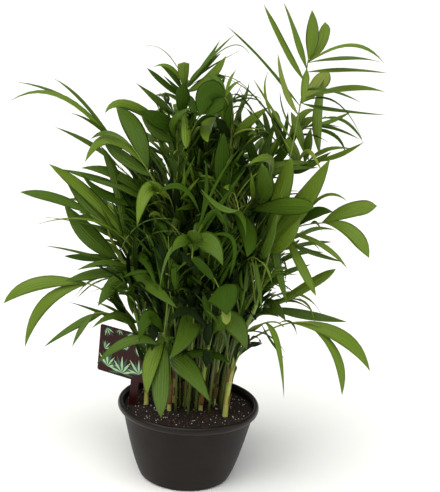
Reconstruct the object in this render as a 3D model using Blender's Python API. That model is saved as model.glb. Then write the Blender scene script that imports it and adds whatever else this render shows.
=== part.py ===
"""Potted bamboo palm: a nursery pot of soil, a plant tag, a clump of canes, crown hearts and forty fronds.

Metres, +Z up. The origin is the middle of the pot's flat underside, and -Y is the side that faces the viewer.
Each frond is a thin closed blade of its whole outline, from the foot of its stalk to its furthest leaflet tips.
"""

import math
import random
from collections import namedtuple

import bmesh
import bpy
from mathutils import Vector

UP = Vector((0.0, 0.0, 1.0))
CLEARANCE = 0.0003

# Pot
POT_HEIGHT = 0.140
RIM_RADIUS = 0.127
FOOT_RADIUS = 0.0725
FOOT_ROUNDING = 0.005
WALL_FOOT_RADIUS = 0.079
WALL_TOP_RADIUS = 0.1180
WALL_TOP = 0.126
WALL_BULGE = 0.70
WALL_LEVELS = (0.018, 0.040, 0.070, 0.100, 0.126)
WALL_THICKNESS = 0.0028
FLOOR_THICKNESS = 0.004
LIP_HALF = (0.005, (POT_HEIGHT - WALL_TOP) / 2)
LIP_MIDDLE = (RIM_RADIUS - LIP_HALF[0], POT_HEIGHT - LIP_HALF[1])
LIP_ANGLES = (-62, -25, 15, 55, 90, 130, 180)
TURN_STEPS = 44

# Soil
SOIL_TOP = 0.127

# Plant tag
TAG_WIDTH = 0.106
TAG_HEIGHT = 0.088
TAG_THICKNESS = 0.0014
TAG_FOOT = (-0.098, -0.008)
TAG_BOTTOM = 0.174
TAG_STAKE_WIDTH = 0.017
TAG_STAKE_OFFSET = 0.018
TAG_TURN = math.radians(-27)
TAG_LEAN = math.radians(2.5)

# Canes: each leans out from its foot on the soil to its top, given as (x, y) places, and up to its height
CANE_SIDES_RESOLUTION = 2
CANE_POINTS = 7
CANE_TOP_SHARE = 0.72
CANE_GAP = 0.00045
Cane = namedtuple("Cane", "name foot top height radius")
CANES = (
    Cane("cane_right_front", (0.066, -0.030), (0.106, -0.044), 0.340, 0.0046),
    Cane("cane_right_back", (0.070, 0.030), (0.100, 0.046), 0.300, 0.0034),
    Cane("cane_back_right", (0.022, 0.074), (0.034, 0.112), 0.300, 0.0038),
    Cane("cane_back_left", (-0.045, 0.066), (-0.066, 0.102), 0.300, 0.0034),
    Cane("cane_left", (-0.076, 0.000), (-0.104, 0.004), 0.300, 0.0040),
    Cane("cane_front_left", (-0.034, -0.020), (-0.050, -0.056), 0.285, 0.0036),
    Cane("cane_front_right", (0.022, -0.014), (0.032, -0.054), 0.285, 0.0036),
    Cane("cane_middle_right", (0.045, 0.020), (0.078, 0.008), 0.410, 0.0038),
    Cane("cane_middle_back", (0.000, 0.050), (0.004, 0.082), 0.420, 0.0040),
    Cane("cane_middle_left", (-0.052, 0.028), (-0.082, 0.024), 0.410, 0.0038),
    Cane("cane_middle_front", (-0.006, 0.004), (-0.008, -0.040), 0.400, 0.0036),
    Cane("cane_inner_right", (0.022, 0.022), (0.046, -0.004), 0.500, 0.0042),
    Cane("cane_inner_left", (-0.026, 0.018), (-0.044, -0.004), 0.510, 0.0042),
    Cane("cane_inner_back", (0.000, 0.030), (0.004, 0.044), 0.520, 0.0042),
)

# Crown hearts: the masses of young fronds on the three tallest canes
HEART_HEIGHT = 0.100
HEART_RADIUS = 0.017
HEART_END_RADIUS = 0.007
HEART_RINGS = 7
HEART_SIDES = 9
HEART_SWELL = 0.8
HEART_UNEVENNESS = 0.14
HEART_LOBES = ((2, 3.0), (3, -4.0))
HEART_GAP = 0.0009
HEART_SEAT_OFFSET = 0.0036
HEARTS = (
    ("heart_right", "cane_inner_right"),
    ("heart_left", "cane_inner_left"),
    ("heart_back", "cane_inner_back"),
)

# Fronds: each grows from a height on its seat (0 on a heart's top) to its tip. The arch lifts the middle of its
# rib off the straight line. The half widths, in metres, are at its widest and at its tip. The roll turns the
# blade round its rib and the fold drops its two sides, in degrees. The stalk is the bare share of its length,
# and widest the share of the leafy rest at which it is widest.
STATIONS = 13
STALK_HALF = 0.0016
BLADE_HALF_THICKNESS = 0.0014
SEAT_GAP = 0.00045
BLADE_SWELL = 0.8
Frond = namedtuple("Frond", "name seat height tip arch width tip_width roll fold stalk widest")
Frond.__new__.__defaults__ = (0, 12, 0.28, 0.5)
FRONDS = (
    # Left side, from the lowest
    Frond("left_fork", "cane_left", 0.282, (-0.309, -0.015, 0.270), 0.075, 0.046, 0.042, 40, 6),
    Frond("left_low", "cane_left", 0.262, (-0.238, -0.070, 0.250), 0.050, 0.040, 0.024, 5, 10),
    Frond("left_middle", "cane_middle_left", 0.330, (-0.268, 0.025, 0.410), 0.030, 0.050, 0.022, 20, 8),
    Frond("left_broad", "cane_middle_left", 0.375, (-0.278, -0.025, 0.510), 0.020, 0.058, 0.036, 30, 6),
    Frond("left_upper", "cane_inner_left", 0.430, (-0.238, 0.055, 0.590), 0.030, 0.048, 0.022, 10, 8),
    Frond("left_thin", "cane_inner_left", 0.455, (-0.322, 0.020, 0.671), 0.035, 0.050, 0.022, 42, 4),
    Frond("left_arching", "cane_inner_left", 0.480, (-0.149, -0.090, 0.651), 0.004, 0.046, 0.026, 20, 10),
    # Right side, from the lowest
    Frond("right_fork", "cane_right_front", 0.265, (0.288, -0.080, 0.205), 0.085, 0.044, 0.042, -20, 6),
    Frond("right_fan", "cane_right_back", 0.270, (0.260, 0.008, 0.350), 0.025, 0.048, 0.044, -30, 6),
    Frond("right_middle", "cane_middle_right", 0.345, (0.255, -0.030, 0.415), 0.045, 0.055, 0.016, -10, 20),
    Frond("right_leafy", "cane_middle_right", 0.385, (0.290, -0.060, 0.485), 0.045, 0.055, 0.042, -25, 8),
    Frond("right_upper", "cane_inner_right", 0.430, (0.264, 0.035, 0.623), 0.030, 0.050, 0.020, -15, 8),
    Frond("right_high", "cane_inner_right", 0.455, (0.308, 0.095, 0.688), 0.055, 0.070, 0.024, -20, 6),
    Frond("right_crest", "cane_right_front", 0.34, (0.165, -0.055, 0.842), -0.006, 0.132, 0.07, -72, 4, 0.44, 0.74),
    # Front, from the lowest
    Frond("front_hanging", "cane_front_left", 0.262, (-0.068, -0.110, 0.179), 0.058, 0.043, 0.036, 0, 10),
    Frond("front_low", "cane_front_right", 0.262, (0.027, -0.135, 0.196), 0.050, 0.042, 0.036, 0, 10),
    Frond("front_side", "cane_right_front", 0.292, (0.158, -0.110, 0.235), 0.070, 0.036, 0.020, 0, 10),
    Frond("front_left", "cane_middle_front", 0.340, (-0.124, -0.150, 0.368), 0.045, 0.045, 0.024, 0, 12),
    Frond("front_right", "cane_middle_front", 0.330, (0.055, -0.170, 0.348), 0.065, 0.045, 0.030, 0, 12),
    Frond("front_corner", "cane_middle_right", 0.365, (0.127, -0.170, 0.390), 0.055, 0.045, 0.024, 0, 12),
    Frond("front_centre", "cane_middle_front", 0.385, (-0.009, -0.200, 0.417), 0.062, 0.050, 0.046, 0, 8),
    Frond("front_arch", "cane_inner_left", 0.435, (-0.094, -0.160, 0.514), 0.060, 0.042, 0.020, 0, 12),
    Frond("front_upper", "cane_inner_right", 0.460, (0.060, -0.160, 0.530), 0.045, 0.042, 0.020, 0, 12),
    Frond("front_facing", "cane_inner_right", 0.475, (0.135, -0.150, 0.605), 0.030, 0.055, 0.030, 0, 10),
    # Top
    Frond("top_left", "heart_left", 0, (-0.106, 0.045, 0.741), 0.014, 0.040, 0.022, 30, 8, 0.15),
    Frond("top_front", "heart_right", 0, (0.020, -0.110, 0.700), 0.030, 0.036, 0.024, 0, 8, 0.15),
    Frond("top_centre", "heart_left", 0, (-0.028, -0.060, 0.735), 0.010, 0.034, 0.018, 0, 4, 0.15),
    Frond("top_middle", "heart_right", 0, (0.030, 0.035, 0.774), 0.010, 0.036, 0.018, 0, 4, 0.15),
    Frond("top_right", "heart_back", 0, (0.093, 0.105, 0.719), 0.010, 0.036, 0.018, 0, 4, 0.15),
)

# The back of the crown, hidden from the front, in three rows round the canes: each row gives its canes, the
# seat's height, the headings in degrees from +X, and the reach, rise, arch and half widths of its fronds.
BACK_STAGGER = 0.022
BACK_FOLD = 10
BackRow = namedtuple("BackRow", "name seats height headings reach rise arch width tip_width")
BACK_ROWS = (
    BackRow(
        "low",
        ("cane_right_back", "cane_back_right", "cane_back_right", "cane_back_left", "cane_back_left"),
        0.250, (38, 66, 94, 122, 154), 0.185, 0.040, 0.052, 0.046, 0.030,
    ),
    BackRow(
        "middle",
        ("cane_right_back", "cane_middle_back", "cane_middle_back", "cane_back_left"),
        0.270, (44, 76, 108, 150), 0.200, 0.180, 0.040, 0.050, 0.026,
    ),
    BackRow(
        "upper",
        ("cane_inner_back", "cane_inner_back"),
        0.470, (64, 118), 0.185, 0.150, 0.050, 0.050, 0.024,
    ),
)


def clear_scene():
    for old in list(bpy.data.objects):
        bpy.data.objects.remove(old, do_unlink=True)


def surface(name, colour, roughness):
    material = bpy.data.materials.new(name)
    material.use_nodes = True
    shader = material.node_tree.nodes["Principled BSDF"]
    shader.inputs["Base Color"].default_value = (*colour, 1.0)
    shader.inputs["Roughness"].default_value = roughness
    shader.inputs["Metallic"].default_value = 0.0
    return material


def add_mesh(name, mesh_data, material):
    """Turns the faces outwards, and puts the mesh in the scene as one named object."""
    bmesh.ops.recalc_face_normals(mesh_data, faces=mesh_data.faces)
    mesh = bpy.data.meshes.new(name)
    mesh_data.to_mesh(mesh)
    mesh_data.free()
    mesh.materials.append(material)
    made = bpy.data.objects.new(name, mesh)
    bpy.context.scene.collection.objects.link(made)
    return made


def turned(name, profile, material):
    """Spins a profile of (radius, height) points, whose two ends lie on the axis, into a closed solid."""
    spun = bmesh.new()
    corners = [spun.verts.new((radius, 0.0, height)) for radius, height in profile]
    sides = [spun.edges.new(pair) for pair in zip(corners, corners[1:])]
    bmesh.ops.spin(
        spun, geom=corners + sides, cent=(0, 0, 0), axis=UP, angle=math.tau, steps=TURN_STEPS, use_merge=True
    )
    bmesh.ops.remove_doubles(spun, verts=spun.verts, dist=1e-6)
    made = add_mesh(name, spun, material)
    made.data.shade_smooth()
    made.data.set_sharp_from_angle(angle=math.radians(30))
    return made


def wall_radius(height):
    """The pot's outer wall: a bowl that opens fast at the foot and steepens towards the lip."""
    share = max(height, 0.0) / WALL_TOP
    return WALL_FOOT_RADIUS + (WALL_TOP_RADIUS - WALL_FOOT_RADIUS) * share**WALL_BULGE


def inner_profile(inset):
    """The pot's inside from the floor up to the top of the wall, moved inwards by an inset."""
    floor_radius = wall_radius(FLOOR_THICKNESS) - WALL_THICKNESS - FOOT_ROUNDING
    profile = [(floor_radius - inset, FLOOR_THICKNESS + inset)]
    for level in WALL_LEVELS:
        profile.append((wall_radius(level) - WALL_THICKNESS - inset, level))
    return profile


def make_pot(material):
    outside = [(0.0, 0.0), (FOOT_RADIUS, 0.0), (wall_radius(FOOT_ROUNDING), FOOT_ROUNDING)]
    outside += [(wall_radius(level), level) for level in WALL_LEVELS]
    lip = []
    for degrees in LIP_ANGLES:
        angle = math.radians(degrees)
        reach = LIP_MIDDLE[0] + LIP_HALF[0] * math.cos(angle)
        lip.append((reach, LIP_MIDDLE[1] + LIP_HALF[1] * math.sin(angle)))
    inside = [*reversed(inner_profile(0.0)), (0.0, FLOOR_THICKNESS)]
    turned("pot", outside + lip + inside, material)


def make_soil(material):
    """Soil that fills the pot to just above the foot of the rolled lip."""
    below = inner_profile(CLEARANCE)
    lip_inside = LIP_MIDDLE[0] - LIP_HALF[0] - CLEARANCE
    share = (SOIL_TOP - WALL_TOP) / (LIP_MIDDLE[1] - WALL_TOP)
    top_radius = below[-1][0] + (lip_inside - below[-1][0]) * share
    profile = [(0.0, FLOOR_THICKNESS + CLEARANCE), *below, (top_radius, SOIL_TOP), (0.0, SOIL_TOP)]
    turned("soil", profile, material)


def make_tag(material):
    """A card on a stake, cut from one sheet: the stake is cut flat where it meets the soil."""
    left = TAG_STAKE_OFFSET + TAG_STAKE_WIDTH / 2 - TAG_WIDTH
    right = left + TAG_WIDTH
    stake_length = TAG_BOTTOM - SOIL_TOP - 4 * CLEARANCE
    outline = [
        (-TAG_STAKE_WIDTH / 2, -stake_length),
        (TAG_STAKE_WIDTH / 2, -stake_length),
        (TAG_STAKE_WIDTH / 2, 0.0),
        (right, 0.0),
        (right, TAG_HEIGHT),
        (left, TAG_HEIGHT),
        (left, 0.0),
        (-TAG_STAKE_WIDTH / 2, 0.0),
    ]
    card = bmesh.new()
    face = card.faces.new([card.verts.new((x, -TAG_THICKNESS / 2, z)) for x, z in outline])
    extruded = bmesh.ops.extrude_face_region(card, geom=[face])
    moved = [item for item in extruded["geom"] if isinstance(item, bmesh.types.BMVert)]
    bmesh.ops.translate(card, verts=moved, vec=(0.0, TAG_THICKNESS, 0.0))
    made = add_mesh("plant_tag", card, material)
    made.location = (*TAG_FOOT, TAG_BOTTOM)
    made.rotation_euler = (0.0, TAG_LEAN, TAG_TURN)


def cane_point(cane, height):
    """The cane's axis at a height: upright at the soil, and leaning more and more towards its top."""
    foot_height = SOIL_TOP + CANE_GAP
    share = (height - foot_height) / (cane.height - foot_height)
    foot, top = Vector((*cane.foot, 0.0)), Vector((*cane.top, 0.0))
    return foot.lerp(top, share * share) + UP * height


def cane_radius(cane, height):
    share = (height - SOIL_TOP) / (cane.height - SOIL_TOP)
    return cane.radius * (1.0 - (1.0 - CANE_TOP_SHARE) * share)


def make_cane(cane, material):
    curve = bpy.data.curves.new(cane.name, "CURVE")
    curve.dimensions = "3D"
    curve.bevel_depth = 1.0
    curve.bevel_resolution = CANE_SIDES_RESOLUTION
    curve.use_fill_caps = True
    axis = curve.splines.new("POLY")
    axis.points.add(CANE_POINTS - 1)
    foot_height = SOIL_TOP + CANE_GAP
    for index, point in enumerate(axis.points):
        height = foot_height + (cane.height - foot_height) * index / (CANE_POINTS - 1)
        point.co = (*cane_point(cane, height), 1.0)
        point.radius = cane_radius(cane, height)
    curve.materials.append(material)
    bpy.context.scene.collection.objects.link(bpy.data.objects.new(cane.name, curve))


def make_heart(name, cane, material):
    """A closed, uneven spindle that sits on a cane's cut top."""
    uneven = random.Random(name)
    top = cane_point(cane, cane.height)
    phases = [uneven.uniform(0.0, math.tau) for _ in HEART_LOBES]
    heart = bmesh.new()
    rings = []
    for level in range(HEART_RINGS):
        share = level / (HEART_RINGS - 1)
        radius = HEART_END_RADIUS + (HEART_RADIUS - HEART_END_RADIUS) * math.sin(math.pi * share) ** HEART_SWELL
        centre = top + UP * (HEART_GAP + HEART_HEIGHT * share)
        ring = []
        for side in range(HEART_SIDES):
            angle = math.tau * side / HEART_SIDES
            swell = 0.0
            for (lobes, twist), phase in zip(HEART_LOBES, phases):
                swell += math.sin(lobes * angle + phase + twist * share)
            reach = radius * (1.0 + HEART_UNEVENNESS * swell * math.sin(math.pi * share))
            ring.append(heart.verts.new(centre + Vector((math.cos(angle), math.sin(angle), 0.0)) * reach))
        rings.append(ring)
    for lower, upper in zip(rings, rings[1:]):
        for side in range(HEART_SIDES):
            after = (side + 1) % HEART_SIDES
            heart.faces.new((lower[side], lower[after], upper[after], upper[side]))
    heart.faces.new(reversed(rings[0]))
    heart.faces.new(rings[-1])
    add_mesh(name, heart, material)
    return top + UP * (HEART_GAP + HEART_HEIGHT)


def heading_of(start, end):
    """The level direction from one point to another."""
    level = Vector((end.x - start.x, end.y - start.y, 0.0))
    return level.normalized()


def rib_curve(start, tip, arch):
    """A frond's rib as a function of the share along it: one arc in the upright plane through its ends."""
    chord = tip - start
    heading = heading_of(start, tip)
    above = (UP * chord.dot(heading) - heading * chord.z).normalized()
    middle = (start + tip) / 2 + above * 2 * arch

    def point(share):
        return start.lerp(middle, share).lerp(middle.lerp(tip, share), share)

    def direction(share):
        return start.lerp(middle, share) - middle.lerp(tip, share)

    return point, lambda share: -direction(share).normalized()


def half_width(frond, share):
    """Bare stalk, then the swelling and narrowing outline of the leaflets' tips."""
    if share <= frond.stalk:
        return STALK_HALF
    along = (share - frond.stalk) / (1.0 - frond.stalk)
    if along < frond.widest:
        return max(frond.width * math.sin(math.pi / 2 * along / frond.widest) ** BLADE_SWELL, STALK_HALF)
    ease = math.cos(math.pi / 2 * (along - frond.widest) / (1.0 - frond.widest))
    return frond.tip_width + (frond.width - frond.tip_width) * ease


def make_frond(frond, start, tip, material):
    """A closed blade, whose flat sections along the rib have a left edge, rib top, right edge and rib bottom."""
    point, direction = rib_curve(start, tip, frond.arch)
    heading = heading_of(start, tip)
    level_side = heading.cross(UP)
    roll, fold = math.radians(frond.roll), math.radians(frond.fold)
    blade = bmesh.new()
    sections = []
    for station in range(STATIONS):
        share = station / (STATIONS - 1)
        centre, along = point(share), direction(share)
        normal = level_side.cross(along)
        side = level_side * math.cos(roll) + normal * math.sin(roll)
        normal = side.cross(along)
        width = half_width(frond, share)
        thick = STALK_HALF if share <= frond.stalk else BLADE_HALF_THICKNESS
        out, drop = side * width * math.cos(fold), normal * width * math.sin(fold)
        left, right = centre - out - drop, centre + out - drop
        corners = (left, centre + normal * thick, right, centre - normal * thick)
        sections.append([blade.verts.new(corner) for corner in corners])
    for near, far in zip(sections, sections[1:]):
        for edge, rib in ((0, 1), (2, 1), (2, 3), (0, 3)):
            blade.faces.new((near[edge], far[edge], far[rib]))
            blade.faces.new((near[edge], far[rib], near[rib]))
    for end in (sections[0], sections[-1]):
        blade.faces.new((end[0], end[1], end[3]))
        blade.faces.new((end[1], end[2], end[3]))
    add_mesh(f"frond_{frond.name}", blade, material)


def seat_point(frond, tip, canes, heart_tops):
    """The middle of a stalk's foot, off the skin it grows from by a hair more than the foot's corners reach.

    A stalk grows from the top of a heart, from the side of a cane or, at the cane's full height, from its top.
    """
    if frond.seat in heart_tops:
        axis = heart_tops[frond.seat]
        skin, outwards = axis + heading_of(axis, tip) * HEART_SEAT_OFFSET, UP
    else:
        cane = canes[frond.seat]
        axis = cane_point(cane, frond.height)
        along = (axis - cane_point(cane, frond.height - CLEARANCE)).normalized()
        heading = heading_of(axis, tip)
        skin, outwards = axis, along
        if frond.height < cane.height:
            outwards = (heading - along * heading.dot(along)).normalized()
            skin = axis + outwards * cane_radius(cane, frond.height)
    _, direction = rib_curve(skin, tip, frond.arch)
    departure = direction(0.0).dot(outwards)
    return skin + outwards * (SEAT_GAP + STALK_HALF * math.sqrt(1.0 - departure * departure))


def back_fronds():
    """The rows of like fronds that finish the back of the crown, as (frond, tip) pairs."""
    canes = {cane.name: cane for cane in CANES}
    for row in BACK_ROWS:
        for index, (seat, heading) in enumerate(zip(row.seats, row.headings)):
            height = row.height + BACK_STAGGER * (index % 2)
            axis = cane_point(canes[seat], height)
            turn = math.radians(heading)
            tip = axis + Vector((math.cos(turn), math.sin(turn), 0.0)) * row.reach + UP * row.rise
            name = f"back_{row.name}_{index + 1}"
            yield Frond(name, seat, height, tuple(tip), row.arch, row.width, row.tip_width, 0, BACK_FOLD)


def main():
    clear_scene()
    make_pot(surface("moulded_pot_plastic", (0.024, 0.019, 0.016), 0.42))
    make_soil(surface("peat_soil", (0.018, 0.012, 0.009), 0.95))
    make_tag(surface("printed_tag_card", (0.045, 0.018, 0.018), 0.45))
    cane_skin = surface("cane_skin", (0.30, 0.38, 0.10), 0.45)
    leaf = surface("frond_leaf", (0.07, 0.17, 0.03), 0.40)
    canes = {cane.name: cane for cane in CANES}
    for cane in CANES:
        make_cane(cane, cane_skin)
    heart_tops = {name: make_heart(name, canes[seat], leaf) for name, seat in HEARTS}
    for frond in (*FRONDS, *back_fronds()):
        tip = Vector(frond.tip)
        make_frond(frond, seat_point(frond, tip, canes, heart_tops), tip, leaf)


main()
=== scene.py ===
"""Potted bamboo palm: the looks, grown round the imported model.

Each frond's thin blade is read back as the run of its rib and the width of its outline. A rib and two ranks of
leaflets grow along it by a seeded rule, and the canes, hearts, soil, pot and tag are made anew in the same places.
Metres, +Z up, and -Y is the side that faces the viewer.
"""

import math
import random
from collections import namedtuple

import bpy
from mathutils import Matrix, Vector, noise


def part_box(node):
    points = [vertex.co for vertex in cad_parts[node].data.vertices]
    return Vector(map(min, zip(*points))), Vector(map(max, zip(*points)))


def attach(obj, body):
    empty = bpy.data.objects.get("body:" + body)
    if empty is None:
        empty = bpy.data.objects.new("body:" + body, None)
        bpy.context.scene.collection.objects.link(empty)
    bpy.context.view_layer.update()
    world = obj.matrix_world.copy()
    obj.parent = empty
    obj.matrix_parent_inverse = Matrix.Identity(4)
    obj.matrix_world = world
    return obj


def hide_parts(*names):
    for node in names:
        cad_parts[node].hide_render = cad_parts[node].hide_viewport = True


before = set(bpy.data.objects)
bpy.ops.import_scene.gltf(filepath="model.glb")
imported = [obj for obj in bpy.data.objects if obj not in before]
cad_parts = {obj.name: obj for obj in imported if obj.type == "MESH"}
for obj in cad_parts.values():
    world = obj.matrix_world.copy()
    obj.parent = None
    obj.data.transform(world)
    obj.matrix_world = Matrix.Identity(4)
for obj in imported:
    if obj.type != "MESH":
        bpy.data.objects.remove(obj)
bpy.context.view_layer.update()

bl_info = {
    "name": "Potted bamboo palm",
    "version": (1, 0, 0),
    "blender": (4, 5, 0),
    "location": "View3D > Sidebar > Palm",
    "description": "Grows a potted bamboo palm round its packed model",
    "category": "Add Mesh",
}

UP = Vector((0.0, 0.0, 1.0))
MM = 0.001


def linear(text):
    """An sRGB hex colour as linear red, green and blue."""
    parts = [int(text[at:at + 2], 16) / 255 for at in (1, 3, 5)]
    return tuple(c / 12.92 if c <= 0.04045 else ((c + 0.055) / 1.055) ** 2.4 for c in parts)


def colour_property(name, text, description):
    return bpy.props.FloatVectorProperty(
        name=name, description=description, subtype="COLOR", size=3, min=0.0, max=1.0, default=linear(text)
    )


def length_property(name, value, description):
    return bpy.props.FloatProperty(name=name, description=description, default=value, unit="LENGTH", precision=4)


class PALM_PG_sizes(bpy.types.PropertyGroup):
    """The sizes that a user would change."""

    pot_wall: length_property("Pot wall", 1.6 * MM, "Thickness of the pot's moulded wall")
    leaflet_half: length_property("Leaflet half width", 11.5 * MM, "Half the width of a grown leaflet")
    leaflet_skin: length_property("Leaflet thickness", 0.7 * MM, "Thickness of a leaflet at its midrib")
    leaflet_pitch: length_property("Leaflet pitch", 22 * MM, "Distance between leaflet pairs along a rib")
    rib_half: length_property("Rib radius", 1.7 * MM, "Radius of a frond's stalk at its foot")
    scar_pitch: length_property("Scar pitch", 34 * MM, "Distance between the ring scars on a cane")
    perlite: length_property("Perlite size", 1.9 * MM, "Typical width of a perlite grain")
    bark: length_property("Bark size", 6.5 * MM, "Typical length of a crumb of bark")


class PALM_PG_colours(bpy.types.PropertyGroup):
    """The colours that a user would change."""

    # The deep leaf green is painted shade: the darkest tone, for leaflets deep inside the crown and in its dark gaps,
    # where shade falls.
    leaf_deep: colour_property("Deep leaf", "#19270d", "Leaflets low in the crown")
    leaf_dark: colour_property("Dark leaf", "#324b0e", "Older leaflets")
    leaf_mid: colour_property("Middle leaf", "#455e19", "Most leaflets")
    leaf_bright: colour_property("Bright leaf", "#5b731f", "Young leaflets")
    # The pale green is the young leaflets' own colour, and also painted light on leaflets at the crown's edge, where
    # light falls on them.
    leaf_pale: colour_property("Pale leaf", "#778735", "The youngest leaflets at the crown's edge")
    leaf_under: colour_property("Leaf underside", "#3d531c", "The underside of the lighter leaflets")
    # The shoot green is a young stem's green made darker than the canes': painted shade on the thin stems deep among
    # the canes.
    shoot: colour_property("Shoot", "#56642b", "Thin young stems between the canes")
    rib: colour_property("Rib", "#66782f", "Stalks and ribs")
    cane: colour_property("Cane", "#86983a", "Canes from the middle up")
    cane_foot: colour_property("Cane foot", "#c8c86a", "Canes near the soil")
    scar: colour_property("Ring scar", "#b9a574", "The ring scars on the canes")
    sheath: colour_property("Sheath", "#7a5029", "Dry papery sheaths round the canes")
    pot: colour_property("Pot", "#110b07", "Moulded plastic of the pot")
    soil: colour_property("Soil", "#1a0f0a", "Moist peat")
    perlite: colour_property("Perlite", "#d2ccc0", "Grains of perlite")
    bark: colour_property("Bark", "#4a2a1b", "Crumbs of bark")
    tag: colour_property("Tag", "#2c0b0a", "Ground colour of the tag's card")
    tag_leaf: colour_property("Tag leaf", "#a3c493", "Pale leaf shapes on the tag")
    tag_shade: colour_property("Tag shade", "#35554a", "Darker leaf shapes on the tag")
    floor: colour_property("Floor", "#fdfeff", "The pale floor")


def sizes():
    return bpy.context.scene.palm_sizes


def colours():
    return bpy.context.scene.palm_colours


# Materials

def node(tree, kind, settings=None, **links):
    """Adds a node. Settings name or number its inputs or name its values, and each link joins an input to an output."""
    made = tree.nodes.new(kind)
    for name, value in (settings or {}).items():
        if isinstance(name, int) or name in made.inputs:
            made.inputs[name].default_value = value
        else:
            setattr(made, name, value)
    for name, source in links.items():
        tree.links.new(source, made.inputs[name.replace("_", " ")])
    return made


def finish(name, colour, **settings):
    """A material with one Principled shader, whose own sockets hold every value that is the same all over."""
    material = bpy.data.materials.new(name)
    material.use_nodes = True
    shader = material.node_tree.nodes["Principled BSDF"]
    shader.inputs["Base Color"].default_value = (*colour, 1.0)
    for label, value in settings.items():
        shader.inputs[label.replace("_", " ")].default_value = value
    return material, material.node_tree, shader


def ramp(tree, source, stops):
    """A colour ramp over a factor, from a list of (place, linear colour)."""
    made = node(tree, "ShaderNodeValToRGB", Fac=source)
    elements = made.color_ramp.elements
    while len(elements) < len(stops):
        elements.new(0.5)
    for element, (place, colour) in zip(elements, stops):
        element.position = place
        element.color = (*colour, 1.0)
    return made


def relief(tree, shader, height, distance, strength=1.0):
    """Joins a height to the shader as bump of a real depth."""
    bump = node(tree, "ShaderNodeBump", {"Distance": distance, "Strength": strength}, Height=height)
    tree.links.new(bump.outputs["Normal"], shader.inputs["Normal"])


def object_noise(tree, size, detail=4.0):
    """Noise in object space whose blotches are a real size across."""
    where = node(tree, "ShaderNodeTexCoord").outputs["Object"]
    return node(tree, "ShaderNodeTexNoise", {"Scale": 1.0 / size, "Detail": detail}, Vector=where)


VEIN_PITCH = 4.4 * MM
VEIN_DEPTH = 0.5 * MM


def leaf_finish(name, colour, roughness=0.35, specular=0.20):
    """A living leaflet: waxy cuticle over raised lengthwise veins, which breaks its satin sheen into fine streaks."""
    material, tree, shader = finish(name, colour, Roughness=roughness, IOR=1.42, Specular_IOR_Level=specular)
    where = node(tree, "ShaderNodeUVMap", {"uv_map": "pattern"}).outputs["UV"]
    place_across = node(tree, "ShaderNodeSeparateXYZ", Vector=where).outputs["X"]
    turn = node(tree, "ShaderNodeMath", {"operation": "MULTIPLY", 1: math.tau / VEIN_PITCH})
    tree.links.new(place_across, turn.inputs[0])
    wave = node(tree, "ShaderNodeMath", {"operation": "COSINE"})
    tree.links.new(turn.outputs[0], wave.inputs[0])
    relief(tree, shader, wave.outputs[0], VEIN_DEPTH, 0.5)
    return material


def skin_finish(name, colour, roughness=0.45):
    """Green stalk skin: waxy and a little uneven."""
    material, tree, shader = finish(name, colour, Roughness=roughness, IOR=1.42, Specular_IOR_Level=0.3)
    relief(tree, shader, object_noise(tree, 3 * MM).outputs["Fac"], 0.12 * MM, 0.6)
    return material


def cane_finish():
    """Green cane skin, smooth and waxy, straw-pale near the soil and blotched where sheaths have come away."""
    material, tree, shader = finish("green_cane_skin", colours().cane, Roughness=0.42, IOR=1.45)
    where = node(tree, "ShaderNodeTexCoord").outputs["Object"]
    height = node(tree, "ShaderNodeSeparateXYZ", Vector=where).outputs["Z"]
    blotch = object_noise(tree, 18 * MM).outputs["Fac"]
    risen = node(tree, "ShaderNodeMath", {"operation": "MULTIPLY_ADD", 1: 0.10, 2: -0.05})
    tree.links.new(blotch, risen.inputs[0])
    summed = node(tree, "ShaderNodeMath", {"operation": "ADD"})
    tree.links.new(height, summed.inputs[0])
    tree.links.new(risen.outputs[0], summed.inputs[1])
    span = node(tree, "ShaderNodeMapRange", {"From Min": 0.127, "From Max": 0.30}, Value=summed.outputs[0])
    stops = [(0.0, colours().cane_foot), (0.45, colours().cane), (1.0, linear("#6f8f3a"))]
    tree.links.new(ramp(tree, span.outputs["Result"], stops).outputs["Color"], shader.inputs["Base Color"])
    relief(tree, shader, object_noise(tree, 1.5 * MM).outputs["Fac"], 0.08 * MM, 0.5)
    return material


def pot_finish(name, roughness, specular):
    """Blow-moulded polypropylene: near-black brown, matt from the mould's grain, and rubbed smoother on the lip."""
    material, tree, shader = finish(name, colours().pot, Roughness=roughness, IOR=1.49, Specular_IOR_Level=specular)
    haze = object_noise(tree, 38 * MM, 6.0).outputs["Fac"]
    stops = [(0.35, colours().pot), (0.75, linear("#1b130e"))]
    tree.links.new(ramp(tree, haze, stops).outputs["Color"], shader.inputs["Base Color"])
    relief(tree, shader, object_noise(tree, 1.2 * MM).outputs["Fac"], 0.06 * MM, 0.7)
    return material


def soil_finish():
    """Moist peat: loose crumbs of nearly black brown, with no shine."""
    material, tree, shader = finish("moist_peat", colours().soil, Roughness=0.93)
    crumbs = object_noise(tree, 5 * MM, 8.0).outputs["Fac"]
    stops = [(0.3, linear("#0d0806")), (0.55, colours().soil), (0.8, linear("#382213"))]
    tree.links.new(ramp(tree, crumbs, stops).outputs["Color"], shader.inputs["Base Color"])
    relief(tree, shader, crumbs, 2.0 * MM, 0.9)
    return material


def grain_finish(name, colour, size, roughness):
    """A crumb of mineral or bark: dull, with a pitted skin."""
    material, tree, shader = finish(name, colour, Roughness=roughness)
    relief(tree, shader, object_noise(tree, size).outputs["Fac"], size / 4, 0.6)
    return material


def card_finish(name, colour):
    """Printed plastic card: an even ink under a thin clear varnish, which gives it a low gloss."""
    material, tree, shader = finish(name, colour, Roughness=0.45, IOR=1.46, Specular_IOR_Level=0.2)
    relief(tree, shader, object_noise(tree, 2 * MM).outputs["Fac"], 0.02 * MM, 0.5)
    return material


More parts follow.
